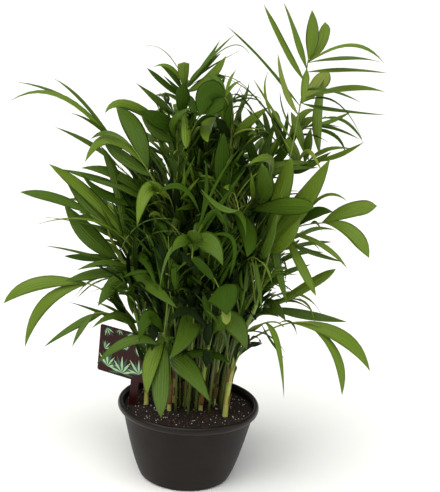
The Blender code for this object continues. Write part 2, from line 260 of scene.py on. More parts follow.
# Leaf tones from deep to pale: the deep tone is painted shade, and the others are the leaves' own greens, which also
# carry painted light and shade where they are given out.
LEAF_TONES = ("leaf_deep", "leaf_dark", "leaf_mid", "leaf_bright", "leaf_pale")
UNDERSIDE = len(LEAF_TONES)
made_materials = {}


def material(name, maker, *values):
    """Makes a material once, and gives the same one after that."""
    if name not in made_materials:
        made_materials[name] = maker(*values)
    return made_materials[name]


def leaf_materials():
    """The leaflets' upper tones, from deep to pale, and the underside."""
    found = []
    for tone in LEAF_TONES:
        gloss = (0.48, 0.07) if tone in ("leaf_deep", "leaf_dark") else (0.35, 0.20)
        found.append(material(tone, leaf_finish, tone + "_cuticle", getattr(colours(), tone), *gloss))
    return found + [material("under", leaf_finish, "leaf_under_cuticle", colours().leaf_under, 0.55, 0.10)]


# Mesh helpers

class Shape:
    """Vertices and faces gathered from many small closed parts, each face with its material's index."""

    def __init__(self):
        self.points, self.faces, self.slots, self.spots = [], [], [], []

    def add(self, points, faces, slots, spots=None):
        """Adds a part. Spots are its vertices' places in the pattern, in metres across and along."""
        start = len(self.points)
        self.points.extend(map(tuple, points))
        self.faces.extend(tuple(start + corner for corner in face) for face in faces)
        self.slots.extend([slots] * len(faces) if isinstance(slots, int) else slots)
        self.spots.extend(spots or [(0.0, 0.0)] * len(points))

    def piece(self, name, materials, slot, *nodes):
        """Makes the object, and places it in the frame as what stands for the nodes."""
        mesh = bpy.data.meshes.new(name)
        mesh.from_pydata(self.points, [], self.faces)
        mesh.polygons.foreach_set("material_index", self.slots)
        mesh.polygons.foreach_set("use_smooth", [True] * len(self.faces))
        layer = mesh.uv_layers.new(name="pattern")
        flat = [value for face in self.faces for corner in face for value in self.spots[corner]]
        layer.data.foreach_set("uv", flat)
        for entry in materials:
            mesh.materials.append(entry)
        mesh.update()
        return place(bpy.data.objects.new(name, mesh), slot, *nodes)


def place(piece, slot, *nodes):
    """Links a piece, rides it on the plant's body and hides the nodes it stands for."""
    bpy.context.scene.collection.objects.link(piece)
    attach(piece, "root")
    if nodes:
        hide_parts(*nodes)
    return piece


def across(direction):
    """Two unit vectors across a direction."""
    other = Vector((1.0, 0.0, 0.0)) if abs(direction.x) < 0.7 else Vector((0.0, 1.0, 0.0))
    first = direction.cross(other).normalized()
    return first, direction.cross(first).normalized()


def tube(points, radii, sides):
    """A closed tube round a run of points: vertices and faces, with flat ends."""
    rings, faces = [], []
    count = len(points)
    first, second = across((points[1] - points[0]).normalized())
    for at, (centre, radius) in enumerate(zip(points, radii)):
        along = (points[min(at + 1, count - 1)] - points[max(at - 1, 0)]).normalized()
        first = (first - along * first.dot(along)).normalized()
        second = along.cross(first)
        for side in range(sides):
            angle = math.tau * side / sides
            rings.append(centre + (first * math.cos(angle) + second * math.sin(angle)) * radius)
    for at in range(count - 1):
        for side in range(sides):
            here, after = at * sides + side, at * sides + (side + 1) % sides
            faces.append((here, after, after + sides, here + sides))
    faces.append(tuple(reversed(range(sides))))
    faces.append(tuple(range((count - 1) * sides, count * sides)))
    return rings, faces


# Reading the frame

WELD_PLACES = 5
STALK_REACH = 4 * MM


def welded(mesh):
    """A node's distinct corners, and each one's neighbours."""
    found, spots, at = {}, [], []
    for vertex in mesh.vertices:
        key = tuple(round(c, WELD_PLACES) for c in vertex.co)
        if key not in found:
            found[key] = len(spots)
            spots.append(vertex.co.copy())
        at.append(found[key])
    near = [set() for _ in spots]
    for edge in mesh.edges:
        a, b = (at[corner] for corner in edge.vertices)
        if a != b:
            near[a].add(b)
            near[b].add(a)
    return spots, near


def foot_ring(spots, near):
    """The four corners at the foot of a stalk: a tight group that touches only one other group."""
    for spot in spots:
        group = {at for at, other in enumerate(spots) if (other - spot).length < STALK_REACH}
        if len(group) == 4 and len(set().union(*(near[at] for at in group)) - group) == 4:
            return group
    raise ValueError("a blade has no stalk")


class Blade:
    """A frond's rib as a smooth run, with its upper side and its two half widths at each place along it."""

    def __init__(self, centres, normals, lefts, rights):
        self.centres, self.normals, self.lefts, self.rights = centres, normals, lefts, rights
        self.last = len(centres) - 1
        self.length = sum((b - a).length for a, b in zip(centres, centres[1:]))
        wide = (at for at, side in enumerate(rights) if side.length > STALK_REACH)
        self.leafy = (next(wide, self.last + 1) - 1) / self.last

    def between(self, run, share):
        """Any of the blade's runs of vectors at a share of its length, as a smooth curve through its sections."""
        place = min(max(share, 0.0), 1.0) * self.last
        at = min(int(place), self.last - 1)
        t = place - at
        p = [run[min(max(at + step, 0), self.last)] for step in (-1, 0, 1, 2)]
        bent = p[1] * 2 + (p[2] - p[0]) * t + (p[0] * 2 - p[1] * 5 + p[2] * 4 - p[3]) * t * t
        return (bent + (p[1] * 3 - p[0] - p[2] * 3 + p[3]) * t * t * t) / 2

    def centre(self, share):
        return self.between(self.centres, share)

    def normal(self, share):
        return self.between(self.normals, share).normalized()

    def side(self, share, which):
        """The way to one edge of the outline, as a vector of its half width."""
        return self.between(self.lefts if which < 0 else self.rights, share)


def read_blade(name):
    spots, near = welded(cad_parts[name].data)
    ring = foot_ring(spots, near)
    rings = [ring]
    known = set(ring)
    while True:
        ring = set().union(*(near[at] for at in ring)) - known
        if not ring:
            break
        known |= ring
        rings.append(ring)
    ribs = sorted(at for at in rings[0] if len(near[at] & rings[1]) == 1)
    edges = sorted(rings[0] - set(ribs))
    centres, normals, lefts, rights = [], [], [], []
    for index, ring in enumerate(rings):
        if index:
            ribs = [(near[at] & ring).pop() for at in ribs]
            edges = [(near[at] & ring - set(ribs)).pop() for at in edges]
        centre = (spots[ribs[0]] + spots[ribs[1]]) / 2
        centres.append(centre)
        normals.append((spots[ribs[0]] - spots[ribs[1]]).normalized())
        lefts.append(spots[edges[0]] - centre)
        rights.append(spots[edges[1]] - centre)
    drop = sum((left + right).dot(normal) for left, right, normal in zip(lefts, rights, normals))
    if drop > 0:
        normals = [-normal for normal in normals]
    return Blade(centres, normals, lefts, rights)


def read_cane(name):
    """A cane's axis points and radii, from the rings of its node, lowest first."""
    spots, _ = welded(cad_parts[name].data)
    spots.sort(key=lambda spot: spot.z)
    rings = [[spots[0]]]
    for spot in spots[1:]:
        if spot.z - rings[-1][-1].z > STALK_REACH:
            rings.append([])
        rings[-1].append(spot)
    axis = [sum(ring, Vector()) / len(ring) for ring in rings]
    radii = [sum((spot - centre).length for spot in ring) / len(ring) for ring, centre in zip(rings, axis)]
    return axis, radii


# Camera

CAMERA_PLACE = Vector((0.0, -1.819, 0.899))
CAMERA_DOWN = math.radians(14.49)
CAMERA_TURN = math.radians(1.19)
CAMERA_ROLL = math.radians(3.8)
CAMERA_LENS = 79.3
CAMERA_SENSOR = 36.0
CAMERA_AHEAD = Vector((
    math.cos(CAMERA_DOWN) * math.sin(CAMERA_TURN), math.cos(CAMERA_DOWN) * math.cos(CAMERA_TURN), -math.sin(CAMERA_DOWN)
))
PICTURE_WIDTH, PICTURE_HEIGHT = 440, 492
PIXELS_AHEAD = CAMERA_LENS / CAMERA_SENSOR * PICTURE_HEIGHT


def view_axes(forward, roll):
    """The ways right and up in a view along a direction, rolled about it."""
    right = forward.cross(UP).normalized()
    above = right.cross(forward.normalized())
    return right * math.cos(roll) + above * math.sin(roll), above * math.cos(roll) - right * math.sin(roll)


def pixel_of(point):
    """Where a place shows in the picture, in pixels from its upper left corner."""
    right, above = view_axes(CAMERA_AHEAD, CAMERA_ROLL)
    way = point - CAMERA_PLACE
    scale = PIXELS_AHEAD / way.dot(CAMERA_AHEAD)
    return PICTURE_WIDTH / 2 + way.dot(right) * scale, PICTURE_HEIGHT / 2 - way.dot(above) * scale


def seen_at(pixel, depth):
    """The place that shows at a pixel of the picture and has a given Y."""
    right, above = view_axes(CAMERA_AHEAD, CAMERA_ROLL)
    across_view, up_view = pixel[0] - PICTURE_WIDTH / 2, PICTURE_HEIGHT / 2 - pixel[1]
    way = CAMERA_AHEAD * PIXELS_AHEAD + right * across_view + above * up_view
    return CAMERA_PLACE + way * (depth - CAMERA_PLACE.y) / way.y


# Leaflets

LEAF_ROWS = 12
FAN_ROWS = 9
LEAF_COLUMNS = (-1.0, -0.72, -0.40, -0.06, 0.06, 0.40, 0.72, 1.0)
LEAF_PLEATS = (0.0, 0.065, 0.0, 0.07, 0.07, 0.0, 0.065, 0.0)
LEAF_CUP = 0.26
LEAF_RUFFLE = 0.12
LEAF_FOOT = 0.9 * MM
LEAF_TIP = 0.15 * MM
# Leaflets of the deep and dark tones are as dark beneath as on top, in place of the paler underside: painted shade that
# keeps the crown's inside dark.
DARK_BENEATH = 1


def leaf_outline(share, belly):
    """A leaflet's half width along it: a narrow foot, widest at its belly, and a point that is drawn out or blunt."""
    if share < belly:
        return 1.0 - (1.0 - share / belly) ** 2.2
    return 1.0 - ((share - belly) / (1.0 - belly)) ** (1.1 + 2.2 * belly)


def add_leaflet(shape, spine, normals, half, twist, belly, skin, tone):
    """One closed leaflet of two skins that meet along its edges, folded and pleated along its veins.

    The deep and dark tones are as dark beneath, as painted shade, and the others have the paler underside.
    """
    rows = len(spine)
    columns = len(LEAF_COLUMNS)
    top, bottom = [], []
    for row, centre in enumerate(spine):
        share = row / (rows - 1)
        along = (spine[min(row + 1, rows - 1)] - spine[max(row - 1, 0)]).normalized()
        side = along.cross(normals[row]).normalized()
        up = side.cross(along)
        turn = twist * share
        side, up = side * math.cos(turn) + up * math.sin(turn), up * math.cos(turn) - side * math.sin(turn)
        end = LEAF_FOOT + (LEAF_TIP - LEAF_FOOT) * share
        width = max(half * leaf_outline(share, belly), end)
        for column, pleat in zip(LEAF_COLUMNS, LEAF_PLEATS):
            ruffle = LEAF_RUFFLE * column * column * math.sin(7.0 * share + 2.0 * column + 40.0 * twist)
            lift = width * (pleat + ruffle - LEAF_CUP * abs(column) ** 1.5)
            point = centre + side * column * width + up * lift
            top.append(point)
            if abs(column) < 1.0:
                bottom.append(point - up * skin * (1.0 - abs(column)))
    inner = columns - 2
    base = rows * columns

    def under(row, column):
        """The index of the lower skin's corner, which at the edges is the upper skin's own."""
        if column in (0, columns - 1):
            return row * columns + column
        return base + row * inner + column - 1

    faces, slots = [], []
    for row in range(rows - 1):
        for column in range(columns - 1):
            here = row * columns + column
            faces.append((here, here + 1, here + 1 + columns, here + columns))
            slots.append(tone)
            lower = (under(row, column), under(row + 1, column), under(row + 1, column + 1), under(row, column + 1))
            faces.append(lower)
            slots.append(UNDERSIDE if tone > DARK_BENEATH else tone)
    for row, order in ((0, 1), (rows - 1, -1)):
        ring = [row * columns + column for column in range(columns)]
        ring += [under(row, column) for column in range(columns - 2, 0, -1)]
        faces.append(tuple(ring[::-order]))
        slots.append(tone)
    width_at = [column * half for column in LEAF_COLUMNS]
    spots = [(width_at[at % columns], 0.0) for at in range(base)]
    spots += [(width_at[1 + at % inner], 0.0) for at in range(rows * inner)]
    shape.add(top + bottom, faces, slots, spots)


FORWARD = math.radians(34)
RACHIS_END = 0.80
SPREAD = 1.12
SWEEP = 1.5
TERMINAL_HALF = 1.25
JITTER = 0.16
MIDRIB_LIFT = 9 * MM


class Growth:
    """How a frond's leaflets differ from the usual: tone, width, droop and least length in metres, and pitch."""

    def __init__(self, tone=2, half=1.0, droop=0.012, pitch=1.0, twist=0.7, length=0.10, until=1.0, rib=RACHIS_END):
        self.tone, self.half, self.droop = tone, half, droop
        self.pitch, self.twist, self.length = pitch, twist, length
        self.until, self.rib = until, rib


def leaflet_run(blade, start, end, which, reach, lift, droop):
    """A leaflet's spine on its blade, from the rib at one share to the outline at another, sagging to its tip."""
    spine, normals = [], []
    lateral = blade.side(end, which).length * reach
    for row in range(FAN_ROWS + 1):
        share = row / FAN_ROWS
        place = start + (end - start) * share
        side = blade.side(place, which).normalized()
        normal = blade.normal(place)
        out = lateral * (1.0 - (1.0 - share) ** SWEEP)
        rise = lift * math.sin(math.pi * share)
        point = blade.centre(place) + side * out + normal * rise - UP * droop * share * share
        spine.append(point)
        normals.append(normal)
    return spine, normals


def jittered(value, chance):
    return value * (1.0 + JITTER * chance.uniform(-1, 1))


def add_fan(shape, blade, growth, chance):
    """The two ranks of leaflets along a blade, and the broad pair at its tip."""
    half = sizes().leaflet_half * growth.half
    leafy = blade.length * (RACHIS_END - blade.leafy)
    pairs = max(3, round(leafy / (sizes().leaflet_pitch * growth.pitch)))
    step = (RACHIS_END - blade.leafy) / pairs
    for index in range(pairs + 1):
        for which in (-1, 1):
            last = index == pairs
            start = blade.leafy + step * (index + (0.0 if last else 0.35 * which * chance.random()))
            if start > growth.until:
                continue
            lateral = blade.side(min(start + 0.25, 1.0), which).length
            forward = lateral / math.tan(FORWARD) / blade.length
            forward = jittered(max(forward, growth.length / blade.length), chance)
            end = 1.0 if last else min(start + forward, 0.985)
            early = index / pairs
            full = 0.72 + 0.28 * math.sin(math.pi * (0.25 + 0.6 * early))
            width = jittered(half * full * (TERMINAL_HALF if last else 1.0), chance)
            reach = jittered(SPREAD * (0.85 if last else 1.0), chance)
            droop = growth.droop * chance.uniform(0.3, 1.7)
            lift = MIDRIB_LIFT * chance.uniform(-0.4, 1.6)
            spine, normals = leaflet_run(blade, start, end, which, reach, lift, droop)
            twist = growth.twist * chance.uniform(-1, 1) - 0.2 * which
            tone = min(max(growth.tone + chance.choice((-1, 0, 0, 0, 1)), 0), len(LEAF_TONES) - 1)
            belly = chance.uniform(0.32, 0.5)
            add_leaflet(shape, spine, normals, width, twist, belly, sizes().leaflet_skin, tone)


# Leaves seen in the picture
# A row gives where a leaf's foot, middle and tip show, in pixels of the 440 by 492 picture. The foot sits on the
# frond's rib where that is nearest. Depth is the tip's Y and half the leaf's half width, both in millimetres, and turn
# is how many degrees the leaf's face is turned from the viewer towards the sky.

# Tone picks a leaf's green, from 0, deep, to 4, pale, and holds painted light and shade as well as the leaf's own
# colour: darker where the leaf lies in shade, paler where light falls on it.
Leaf = namedtuple("Leaf", "foot middle tip depth half turn tone belly", defaults=(2, 0.42))

LEAVES = {
    "frond_right_crest": (
        Leaf((294, 81), (284, 43), (264, 5), -70, 8, 50, 3),
        Leaf((305, 70), (297, 35), (284, 3), -75, 8.5, 50, 3),
        Leaf((311, 60), (313, 37), (312, 10), -60, 11, 15, 3, 0.56),
        Leaf((312, 62), (321, 43), (325, 22), -20, 9.5, 20, 3, 0.76),
        Leaf((312, 62), (351, 44), (384, 63), -60, 8, 66, 3),
        Leaf((311, 64), (346, 57), (380, 62), -90, 7, 66, 2),
        Leaf((304, 72), (345, 69), (387, 73), -60, 7, 68, 3),
        Leaf((301, 103), (315, 87), (328, 69), 10, 15, 30, 4, 0.68),
        Leaf((304, 69), (304, 86), (303, 104), -100, 8, 30, 3),
        Leaf((294, 88), (328, 89), (360, 102), -90, 7, 68, 2),
        Leaf((300, 98), (345, 87), (385, 92), -20, 9, 60, 3),
        Leaf((291, 101), (335, 109), (386, 115), -60, 7, 70, 2),
        Leaf((292, 101), (335, 101), (362, 139), -80, 4, 70, 1),
        Leaf((288, 103), (263, 60), (228, 27), -60, 8, 68, 2),
        Leaf((290, 112), (285, 86), (278, 54), -100, 7, 50, 4),
        Leaf((285, 140), (272, 108), (254, 80), -80, 5, 65, 3),
        Leaf((284, 150), (268, 105), (268, 72), -20, 4, 60, 4),
        Leaf((289, 158), (262, 104), (225, 78), -60, 2.5, 65, 1),
        Leaf((289, 158), (258, 118), (239, 88), -40, 3, 60, 1),
        Leaf((295, 133), (284, 112), (280, 92), -60, 2.5, 50, 2),
    ),
    "frond_right_high": (
        Leaf((322, 118), (345, 121), (363, 142), 20, 4, 45, 2),
        Leaf((288, 141), (301, 116), (316, 110), 30, 7, 25, 3),
        Leaf((304, 129), (333, 134), (346, 155), 0, 4, 40, 1),
        Leaf((310, 125), (332, 120), (352, 111), 20, 6, 60, 3),
        Leaf((304, 129), (318, 124), (340, 127), 60, 4, 60, 2),
        Leaf((309, 125), (334, 128), (359, 139), 40, 4, 45, 2),
        Leaf((288, 141), (306, 134), (328, 142), 0, 3, 60, 0),
        Leaf((288, 141), (300, 128), (322, 112), 60, 6, 50, 2),
        Leaf((273, 155), (262, 128), (246, 108), 0, 8, 50, 2),
        Leaf((280, 148), (278, 128), (273, 110), -20, 8, 20, 3, 0.70),
        Leaf((248, 188), (262, 155), (276, 118), 0, 9, 30, 2, 0.50),
        Leaf((259, 171), (252, 150), (241, 130), -20, 9, 25, 1, 0.50),
        Leaf((266, 163), (270, 152), (277, 140), -60, 4, 25, 3, 0.50),
        Leaf((250, 184), (243, 165), (233, 148), -20, 9, 20, 0, 0.50),
        Leaf((288, 141), (303, 122), (320, 120), 40, 7, 30, 3),
        Leaf((273, 155), (268, 128), (262, 108), -20, 6, 30, 2),
        Leaf((280, 148), (285, 130), (288, 112), 0, 5, 30, 2),
        Leaf((262, 168), (272, 150), (283, 133), -10, 8, 30, 2),
        Leaf((273, 155), (290, 140), (300, 120), 40, 8, 25, 1),
        Leaf((266, 163), (278, 158), (291, 145), -10, 8, 30, 1, 0.50),
    ),
    "frond_right_upper": (
        Leaf((319, 155), (318, 117), (324, 79), -30, 9.5, 20, 3, 0.52),
        Leaf((309, 161), (300, 134), (291, 112), -40, 8, 25, 3, 0.55),
        Leaf((297, 168), (285, 141), (272, 115), -50, 4.5, 30, 0),
        Leaf((300, 166), (295, 152), (285, 139), -20, 11, 30, 3, 0.60),
        Leaf((309, 161), (335, 156), (364, 142), -50, 5, 30, 3, 0.50),
        Leaf((309, 161), (327, 149), (353, 149), -20, 4, 30, 3),
        Leaf((305, 163), (307, 147), (311, 128), -20, 8, 20, 2, 0.50),
        Leaf((297, 168), (308, 151), (322, 173), -70, 4, 30, 4, 0.50),
        Leaf((290, 172), (308, 165), (331, 152), -40, 9, 35, 2),
        Leaf((250, 212), (284, 206), (314, 208), -170, 15, 12, 2, 0.62),
        Leaf((254, 204), (264, 191), (262, 163), -125, 16, 8, 2, 0.55),
        Leaf((254, 204), (253, 190), (251, 172), -110, 5, 20, 3),
        Leaf((267, 191), (270, 160), (247, 165), -145, 8, 25, 3, 0.50),
    ),
    "frond_right_leafy": (
        Leaf((297, 227), (322, 196), (347, 201), -60, 6, 60, 3),
        Leaf((322, 223), (349, 210), (377, 206), -60, 14, 15, 3, 0.66),
        Leaf((324, 223), (351, 231), (369, 258), -90, 12.5, 15, 3, 0.60),
        Leaf((284, 233), (320, 243), (347, 268), -100, 6.5, 40, 3, 0.50),
        Leaf((276, 238), (312, 252), (343, 262), -80, 5, 40, 2, 0.40),
        Leaf((284, 234), (302, 267), (316, 296), -100, 8.5, 15, 3, 0.50),
        Leaf((272, 240), (279, 272), (287, 304), -95, 7, 15, 2, 0.42),
        Leaf((266, 246), (298, 207), (330, 159), -105, 20, 18, 3, 0.45),
        Leaf((268, 243), (279, 198), (292, 158), -85, 17, 15, 3, 0.55),
        Leaf((261, 248), (282, 243), (301, 215), -110, 12, 10, 3, 0.45),
        Leaf((297, 227), (312, 213), (333, 212), -60, 10, 30, 1, 0.50),
        Leaf((310, 224), (316, 222), (322, 232), -40, 3, 45, 3),
        Leaf((290, 230), (293, 242), (300, 239), -80, 5, 30, 3),
    ),
    "frond_right_middle": (
        Leaf((294, 253), (310, 243), (321, 253), -30, 2, 50, 3),
        Leaf((252, 271), (267, 246), (277, 214), -160, 8, 12, 2, 0.45),
        Leaf((262, 264), (280, 272), (301, 275), 0, 1.6, 40, 2),
        Leaf((252, 271), (278, 281), (301, 299), -20, 2.5, 40, 1),
        Leaf((262, 264), (276, 284), (290, 288), -20, 1.6, 40, 1),
        Leaf((283, 255), (286, 268), (285, 282), -30, 1.8, 40, 1),
    ),
    "frond_right_fork": (
        Leaf((291, 323), (341, 335.5), (370, 371), -85, 13, 20, 3, 0.50),
        Leaf((305, 322), (335, 352), (342, 395), -80, 7.5, 15, 3, 0.62),
    ),
    "frond_right_fan": (
        Leaf((270, 308), (307, 286), (336, 269), -10, 9.5, 10, 3, 0.60),
        Leaf((270, 308), (309, 315), (347, 322), 0, 9, 20, 2, 0.38),
        Leaf((262, 311), (271, 304), (286, 321), -40, 10, 15, 2, 0.55),
        Leaf((253, 320), (263, 311), (279, 317), -40, 7, 20, 2, 0.50),
        Leaf((289, 299), (307, 304), (315, 326), 0, 2.5, 30, 3),
    ),
    "frond_front_side": (
        Leaf((266, 323), (278, 345), (284, 398), -110, 5.5, 20, 3, 0.34),
        Leaf((247, 331), (254, 328), (265, 323), -50, 4.5, 30, 2),
        Leaf((247, 331), (268, 335), (285, 352), -60, 2, 40, 0),
        Leaf((262, 325), (272, 342), (284, 358), -80, 2.5, 40, 1),
        Leaf((279, 323), (291, 322), (297, 336), -60, 2.5, 45, 1),
    ),
    "frond_front_corner": (
        Leaf((243, 265), (241, 280), (245, 296), -80, 3, 30, 2),
        Leaf((247, 260), (245, 283), (240, 313), -90, 3.5, 30, 2),
        Leaf((251, 257), (256, 276), (255, 290), -100, 3, 30, 3),
        Leaf((255, 258), (259, 284), (262, 312), -110, 4, 30, 2),
        Leaf((259, 261), (267, 268), (272, 284), -110, 2.5, 30, 3),
        Leaf((240, 272), (246, 255), (252, 237), -60, 3, 30, 2),
        Leaf((243, 265), (252, 250), (262, 240), -60, 3, 30, 3),
        Leaf((236, 282), (232, 262), (235, 240), -60, 3.5, 30, 2),
        Leaf((236, 282), (252, 290), (262, 306), -60, 3, 30, 2),
        Leaf((240, 272), (236, 285), (228, 300), -60, 4, 30, 2),
        Leaf((247, 260), (256, 266), (266, 262), -60, 2, 30, 3),
        Leaf((243, 265), (256, 278), (268, 279), -60, 2, 30, 3),
    ),
    "frond_left_thin": (
        Leaf((124, 160), (79, 106), (18, 82), 20, 5, 45, 2),
        Leaf((128, 163), (89, 108), (55, 79), 30, 5.5, 50, 2),
        Leaf((124, 160), (66, 98), (10, 101), 10, 5, 45, 3),
        Leaf((138, 175), (106, 133), (71, 113), 0, 4, 40, 1),
    ),
    "frond_left_upper": (
        Leaf((120, 168), (93, 145), (55, 127), 40, 5.5, 40, 2),
        Leaf((150, 200), (116, 174), (81, 168), 0, 10, 30, 2),
        Leaf((150, 200), (105, 181), (60, 169), 0, 8, 40, 2),
        Leaf((154, 205), (110, 196), (82, 174), -10, 9, 25, 1),
        Leaf((146, 194), (138, 174), (132, 148), 20, 10, 20, 1),
        Leaf((150, 200), (147, 182), (147, 160), 0, 6, 20, 1),
    ),
    "frond_left_broad": (
        Leaf((134, 248), (95, 200), (49, 164), -20, 11, 20, 3, 0.62),
        Leaf((124, 238), (118, 186), (101, 146), 0, 10, 20, 2, 0.55),
        Leaf((92, 215), (60, 199), (20, 192), -30, 9.5, 25, 2, 0.60),
        Leaf((124, 238), (88, 219), (38, 224), -40, 3.5, 45, 3),
        Leaf((113, 230), (80, 222), (45, 217), -20, 2.5, 50, 2),
        Leaf((113, 230), (90, 207), (65, 178), -10, 12, 15, 2),
        Leaf((124, 238), (119, 222), (112, 202), -20, 3, 20, 1),
        Leaf((113, 230), (108, 220), (101, 206), -20, 3, 20, 2),
    ),
    "frond_left_middle": (
        Leaf((118, 259), (91, 236), (64, 204), -20, 17, 12, 2, 0.50),
        Leaf((132, 270), (98, 273), (65, 281), -20, 11, 25, 2, 0.45),
        Leaf((128, 265), (80, 252), (46, 246), 10, 3.5, 50, 2),
        Leaf((118, 258), (90, 257), (64, 256), 40, 7.5, 25, 1, 0.50),
        Leaf((138, 273), (117, 281), (98, 306), -60, 14, 15, 2, 0.45),
        Leaf((138, 273), (131, 292), (133, 315), -60, 7, 20, 1, 0.50),
        Leaf((128, 265), (143, 258), (157, 290), -90, 9, 15, 1, 0.38),
        Leaf((128, 265), (148, 282), (177, 308), -130, 13, 25, 2, 0.45),
        Leaf((118, 259), (140, 224), (180, 221), -140, 1.8, 45, 2),
        Leaf((128, 265), (148, 236), (182, 233), -140, 1.6, 45, 2),
    ),
    "frond_left_fork": (
        Leaf((88, 286), (37, 283), (3.5, 303.5), -10, 12.5, 22, 3, 0.54),
        Leaf((88, 286), (45.5, 302.5), (25, 347), -15, 11, 20, 3, 0.48),
    ),
    "frond_left_low": (
        Leaf((104, 313), (77, 324), (44, 347), -50, 7.5, 30, 2),
        Leaf((95, 313), (82, 327), (72, 347), -70, 6, 35, 2),
        Leaf((129, 325), (101, 312), (69, 302), 10, 4.5, 40, 1),
        Leaf((129, 325), (118, 312), (96, 302), 0, 4, 40, 2),
        Leaf((121, 319), (110, 317), (92, 328), -40, 4, 40, 1),
        Leaf((138, 333), (119, 315), (92, 328), -60, 8, 30, 2),
    ),
    "frond_front_hanging": (
        Leaf((160, 346), (131, 340), (97, 363), -85, 9.5, 20, 2, 0.50),
    ),
    "cane_front_left": (
        Leaf((164, 333), (149, 316), (139, 342), -110, 13, 15, 1, 0.50),
        Leaf((165, 336), (151, 362), (147, 395), -125, 14.5, 6, 3, 0.42),
        Leaf((164, 333), (154, 330), (152, 352), -75, 9, 15, 0, 0.50),
        Leaf((165, 340), (161, 375), (161, 418), -145, 16, 6, 2, 0.58),
        Leaf((167, 355), (187, 368), (210, 402), -150, 19, 10, 2, 0.36),
    ),
    "frond_front_low": (
        Leaf((209, 346), (207, 334), (211, 322), -70, 9, 20, 0, 0.50),
        Leaf((208, 349), (207, 356), (206, 368), -70, 8, 15, 0, 0.50),
    ),
    "cane_front_right": (
        Leaf((211, 335), (230, 320), (247, 350), -130, 18, 15, 2, 0.55),
        Leaf((211, 335), (190, 311), (168, 323), -165, 9, 40, 0, 0.50),
        Leaf((209, 352), (196, 353), (180, 356), -70, 8, 20, 1),
        Leaf((209, 352), (219, 356), (230, 363), -80, 7, 30, 1),
    ),
    "cane_inner_right": (
        Leaf((224, 232), (236, 250), (228, 268), -100, 4, 20, 1),
    ),
    "frond_front_left": (
        Leaf((172, 277), (176, 268), (175, 296), -80, 9, 12, 1, 0.60),
    ),
    "frond_front_centre": (
        Leaf((193, 243), (171, 250), (159, 293), -195, 4.5, 15, 2, 0.20),
        Leaf((193, 243), (182, 241), (172, 252), -190, 11, 12, 2, 0.40),
        Leaf((193, 243), (210, 243), (223, 266), -192, 17, 12, 2, 0.34),
        Leaf((193, 252), (194, 243), (195, 230), -175, 14, 5, 2, 0.60),
        Leaf((193, 249), (195, 234), (198, 214), -60, 5, 15, 2, 0.80),
        Leaf((193, 247), (200, 228), (209, 220), -60, 3, 30, 2),
        Leaf((193, 247), (213, 190), (241, 147), -120, 2.4, 15, 1, 0.50),
        Leaf((193, 249), (220, 205), (246, 168), -120, 3.5, 15, 1, 0.50),
        Leaf((193, 249), (205, 200), (205, 160), -100, 3.5, 15, 1, 0.50),
        Leaf((193, 249), (212, 212), (226, 228), -130, 4, 25, 1, 0.50),
        Leaf((192, 257), (201, 266), (217, 285), -100, 9, -30, 1, 0.50),
        Leaf((193, 243), (231, 237), (229, 279), -150, 3.5, 25, 1, 0.60),
    ),
    "frond_front_right": (
        Leaf((219, 287), (224, 298), (227, 315), -168, 30, 5, 1, 0.22),
        Leaf((219, 287), (225, 304), (226, 325), -160, 8, 5, 4, 0.80),
        Leaf((192, 304), (187, 331), (169, 359), -140, 20, 8, 2, 0.34),
        Leaf((204, 276), (194, 265), (180, 251), -100, 8, 20, 0, 0.40),
        Leaf((199, 283), (196, 290), (190, 299), -70, 8, 20, 0),
    ),
    "frond_front_arch": (
        Leaf((170, 200), (149, 188), (137, 226), -125, 13.5, 25, 3, 0.50),
        Leaf((158, 193), (182, 187), (200, 214), -90, 6, 30, 1, 0.40),
    ),
    "frond_back_upper_2": (
        Leaf((201, 204), (192, 206), (176, 210), -60, 7, 30, 2, 0.40),
    ),
    "frond_back_upper_1": (
        Leaf((206, 199), (224, 176), (244, 150), -60, 6, 25, 2),
        Leaf((206, 199), (217, 178), (233, 154), -70, 2.5, 30, 4),
        Leaf((207, 196), (227, 184), (247, 163), -50, 5, 25, 1),
        Leaf((206, 199), (209, 180), (204, 160), -40, 4, 25, 3),
    ),
    "frond_front_upper": (
        Leaf((239, 210), (221, 207), (201, 189), -155, 6, 30, 2, 0.50),
        Leaf((225, 218), (217, 208), (206, 192), -40, 5, 30, 1),
        Leaf((226, 209), (223, 170), (224, 133), -70, 15, 18, 1, 0.50),
        Leaf((226, 212), (240, 214), (246, 236), -150, 6, 30, 2),
    ),
    "frond_front_facing": (
        Leaf((231, 210), (248, 230), (247, 257), -150, 14, 15, 1, 0.50),
    ),
    "frond_left_arching": (
        Leaf((148, 170), (137, 134), (116, 107), -50, 16, 15, 2, 0.56),
        Leaf((146, 167), (110, 138), (85, 162), -30, 11, 30, 3, 0.58),
        Leaf((133, 148), (110, 133), (91, 139), -30, 5, 30, 2, 0.50),
        Leaf((152, 177), (126, 159), (104, 143), -20, 11, 20, 2, 0.50),
    ),
    "frond_top_left": (
        Leaf((177, 139), (131, 105), (105, 113), -60, 9, 20, 3, 0.50),
        Leaf((176, 129), (163, 121), (138, 111), -70, 14, 20, 1, 0.50),
        Leaf((177, 139), (160, 134), (141, 115), -50, 10, 20, 2, 0.50),
        Leaf((174, 115), (159, 101), (136, 83), -60, 7, 25, 2, 0.35),
        Leaf((177, 139), (173, 122), (192, 107), -80, 7, 25, 2, 0.45),
    ),
    "frond_top_centre": (
        Leaf((187, 88), (170, 67), (154, 67), -40, 5.5, 40, 3, 0.40),
        Leaf((185, 95), (174, 76), (161, 66), -60, 5, 35, 1, 0.50),
        Leaf((185, 99), (166, 84), (147, 68), -40, 6, 30, 1, 0.55),
        Leaf((185, 95), (192, 103), (195, 122), -60, 7, 10, 1, 0.55),
        Leaf((185, 95), (175, 86), (164, 76), -50, 4, 40, 1),
        Leaf((184, 102), (175, 97), (164, 92), -30, 4, 40, 2),
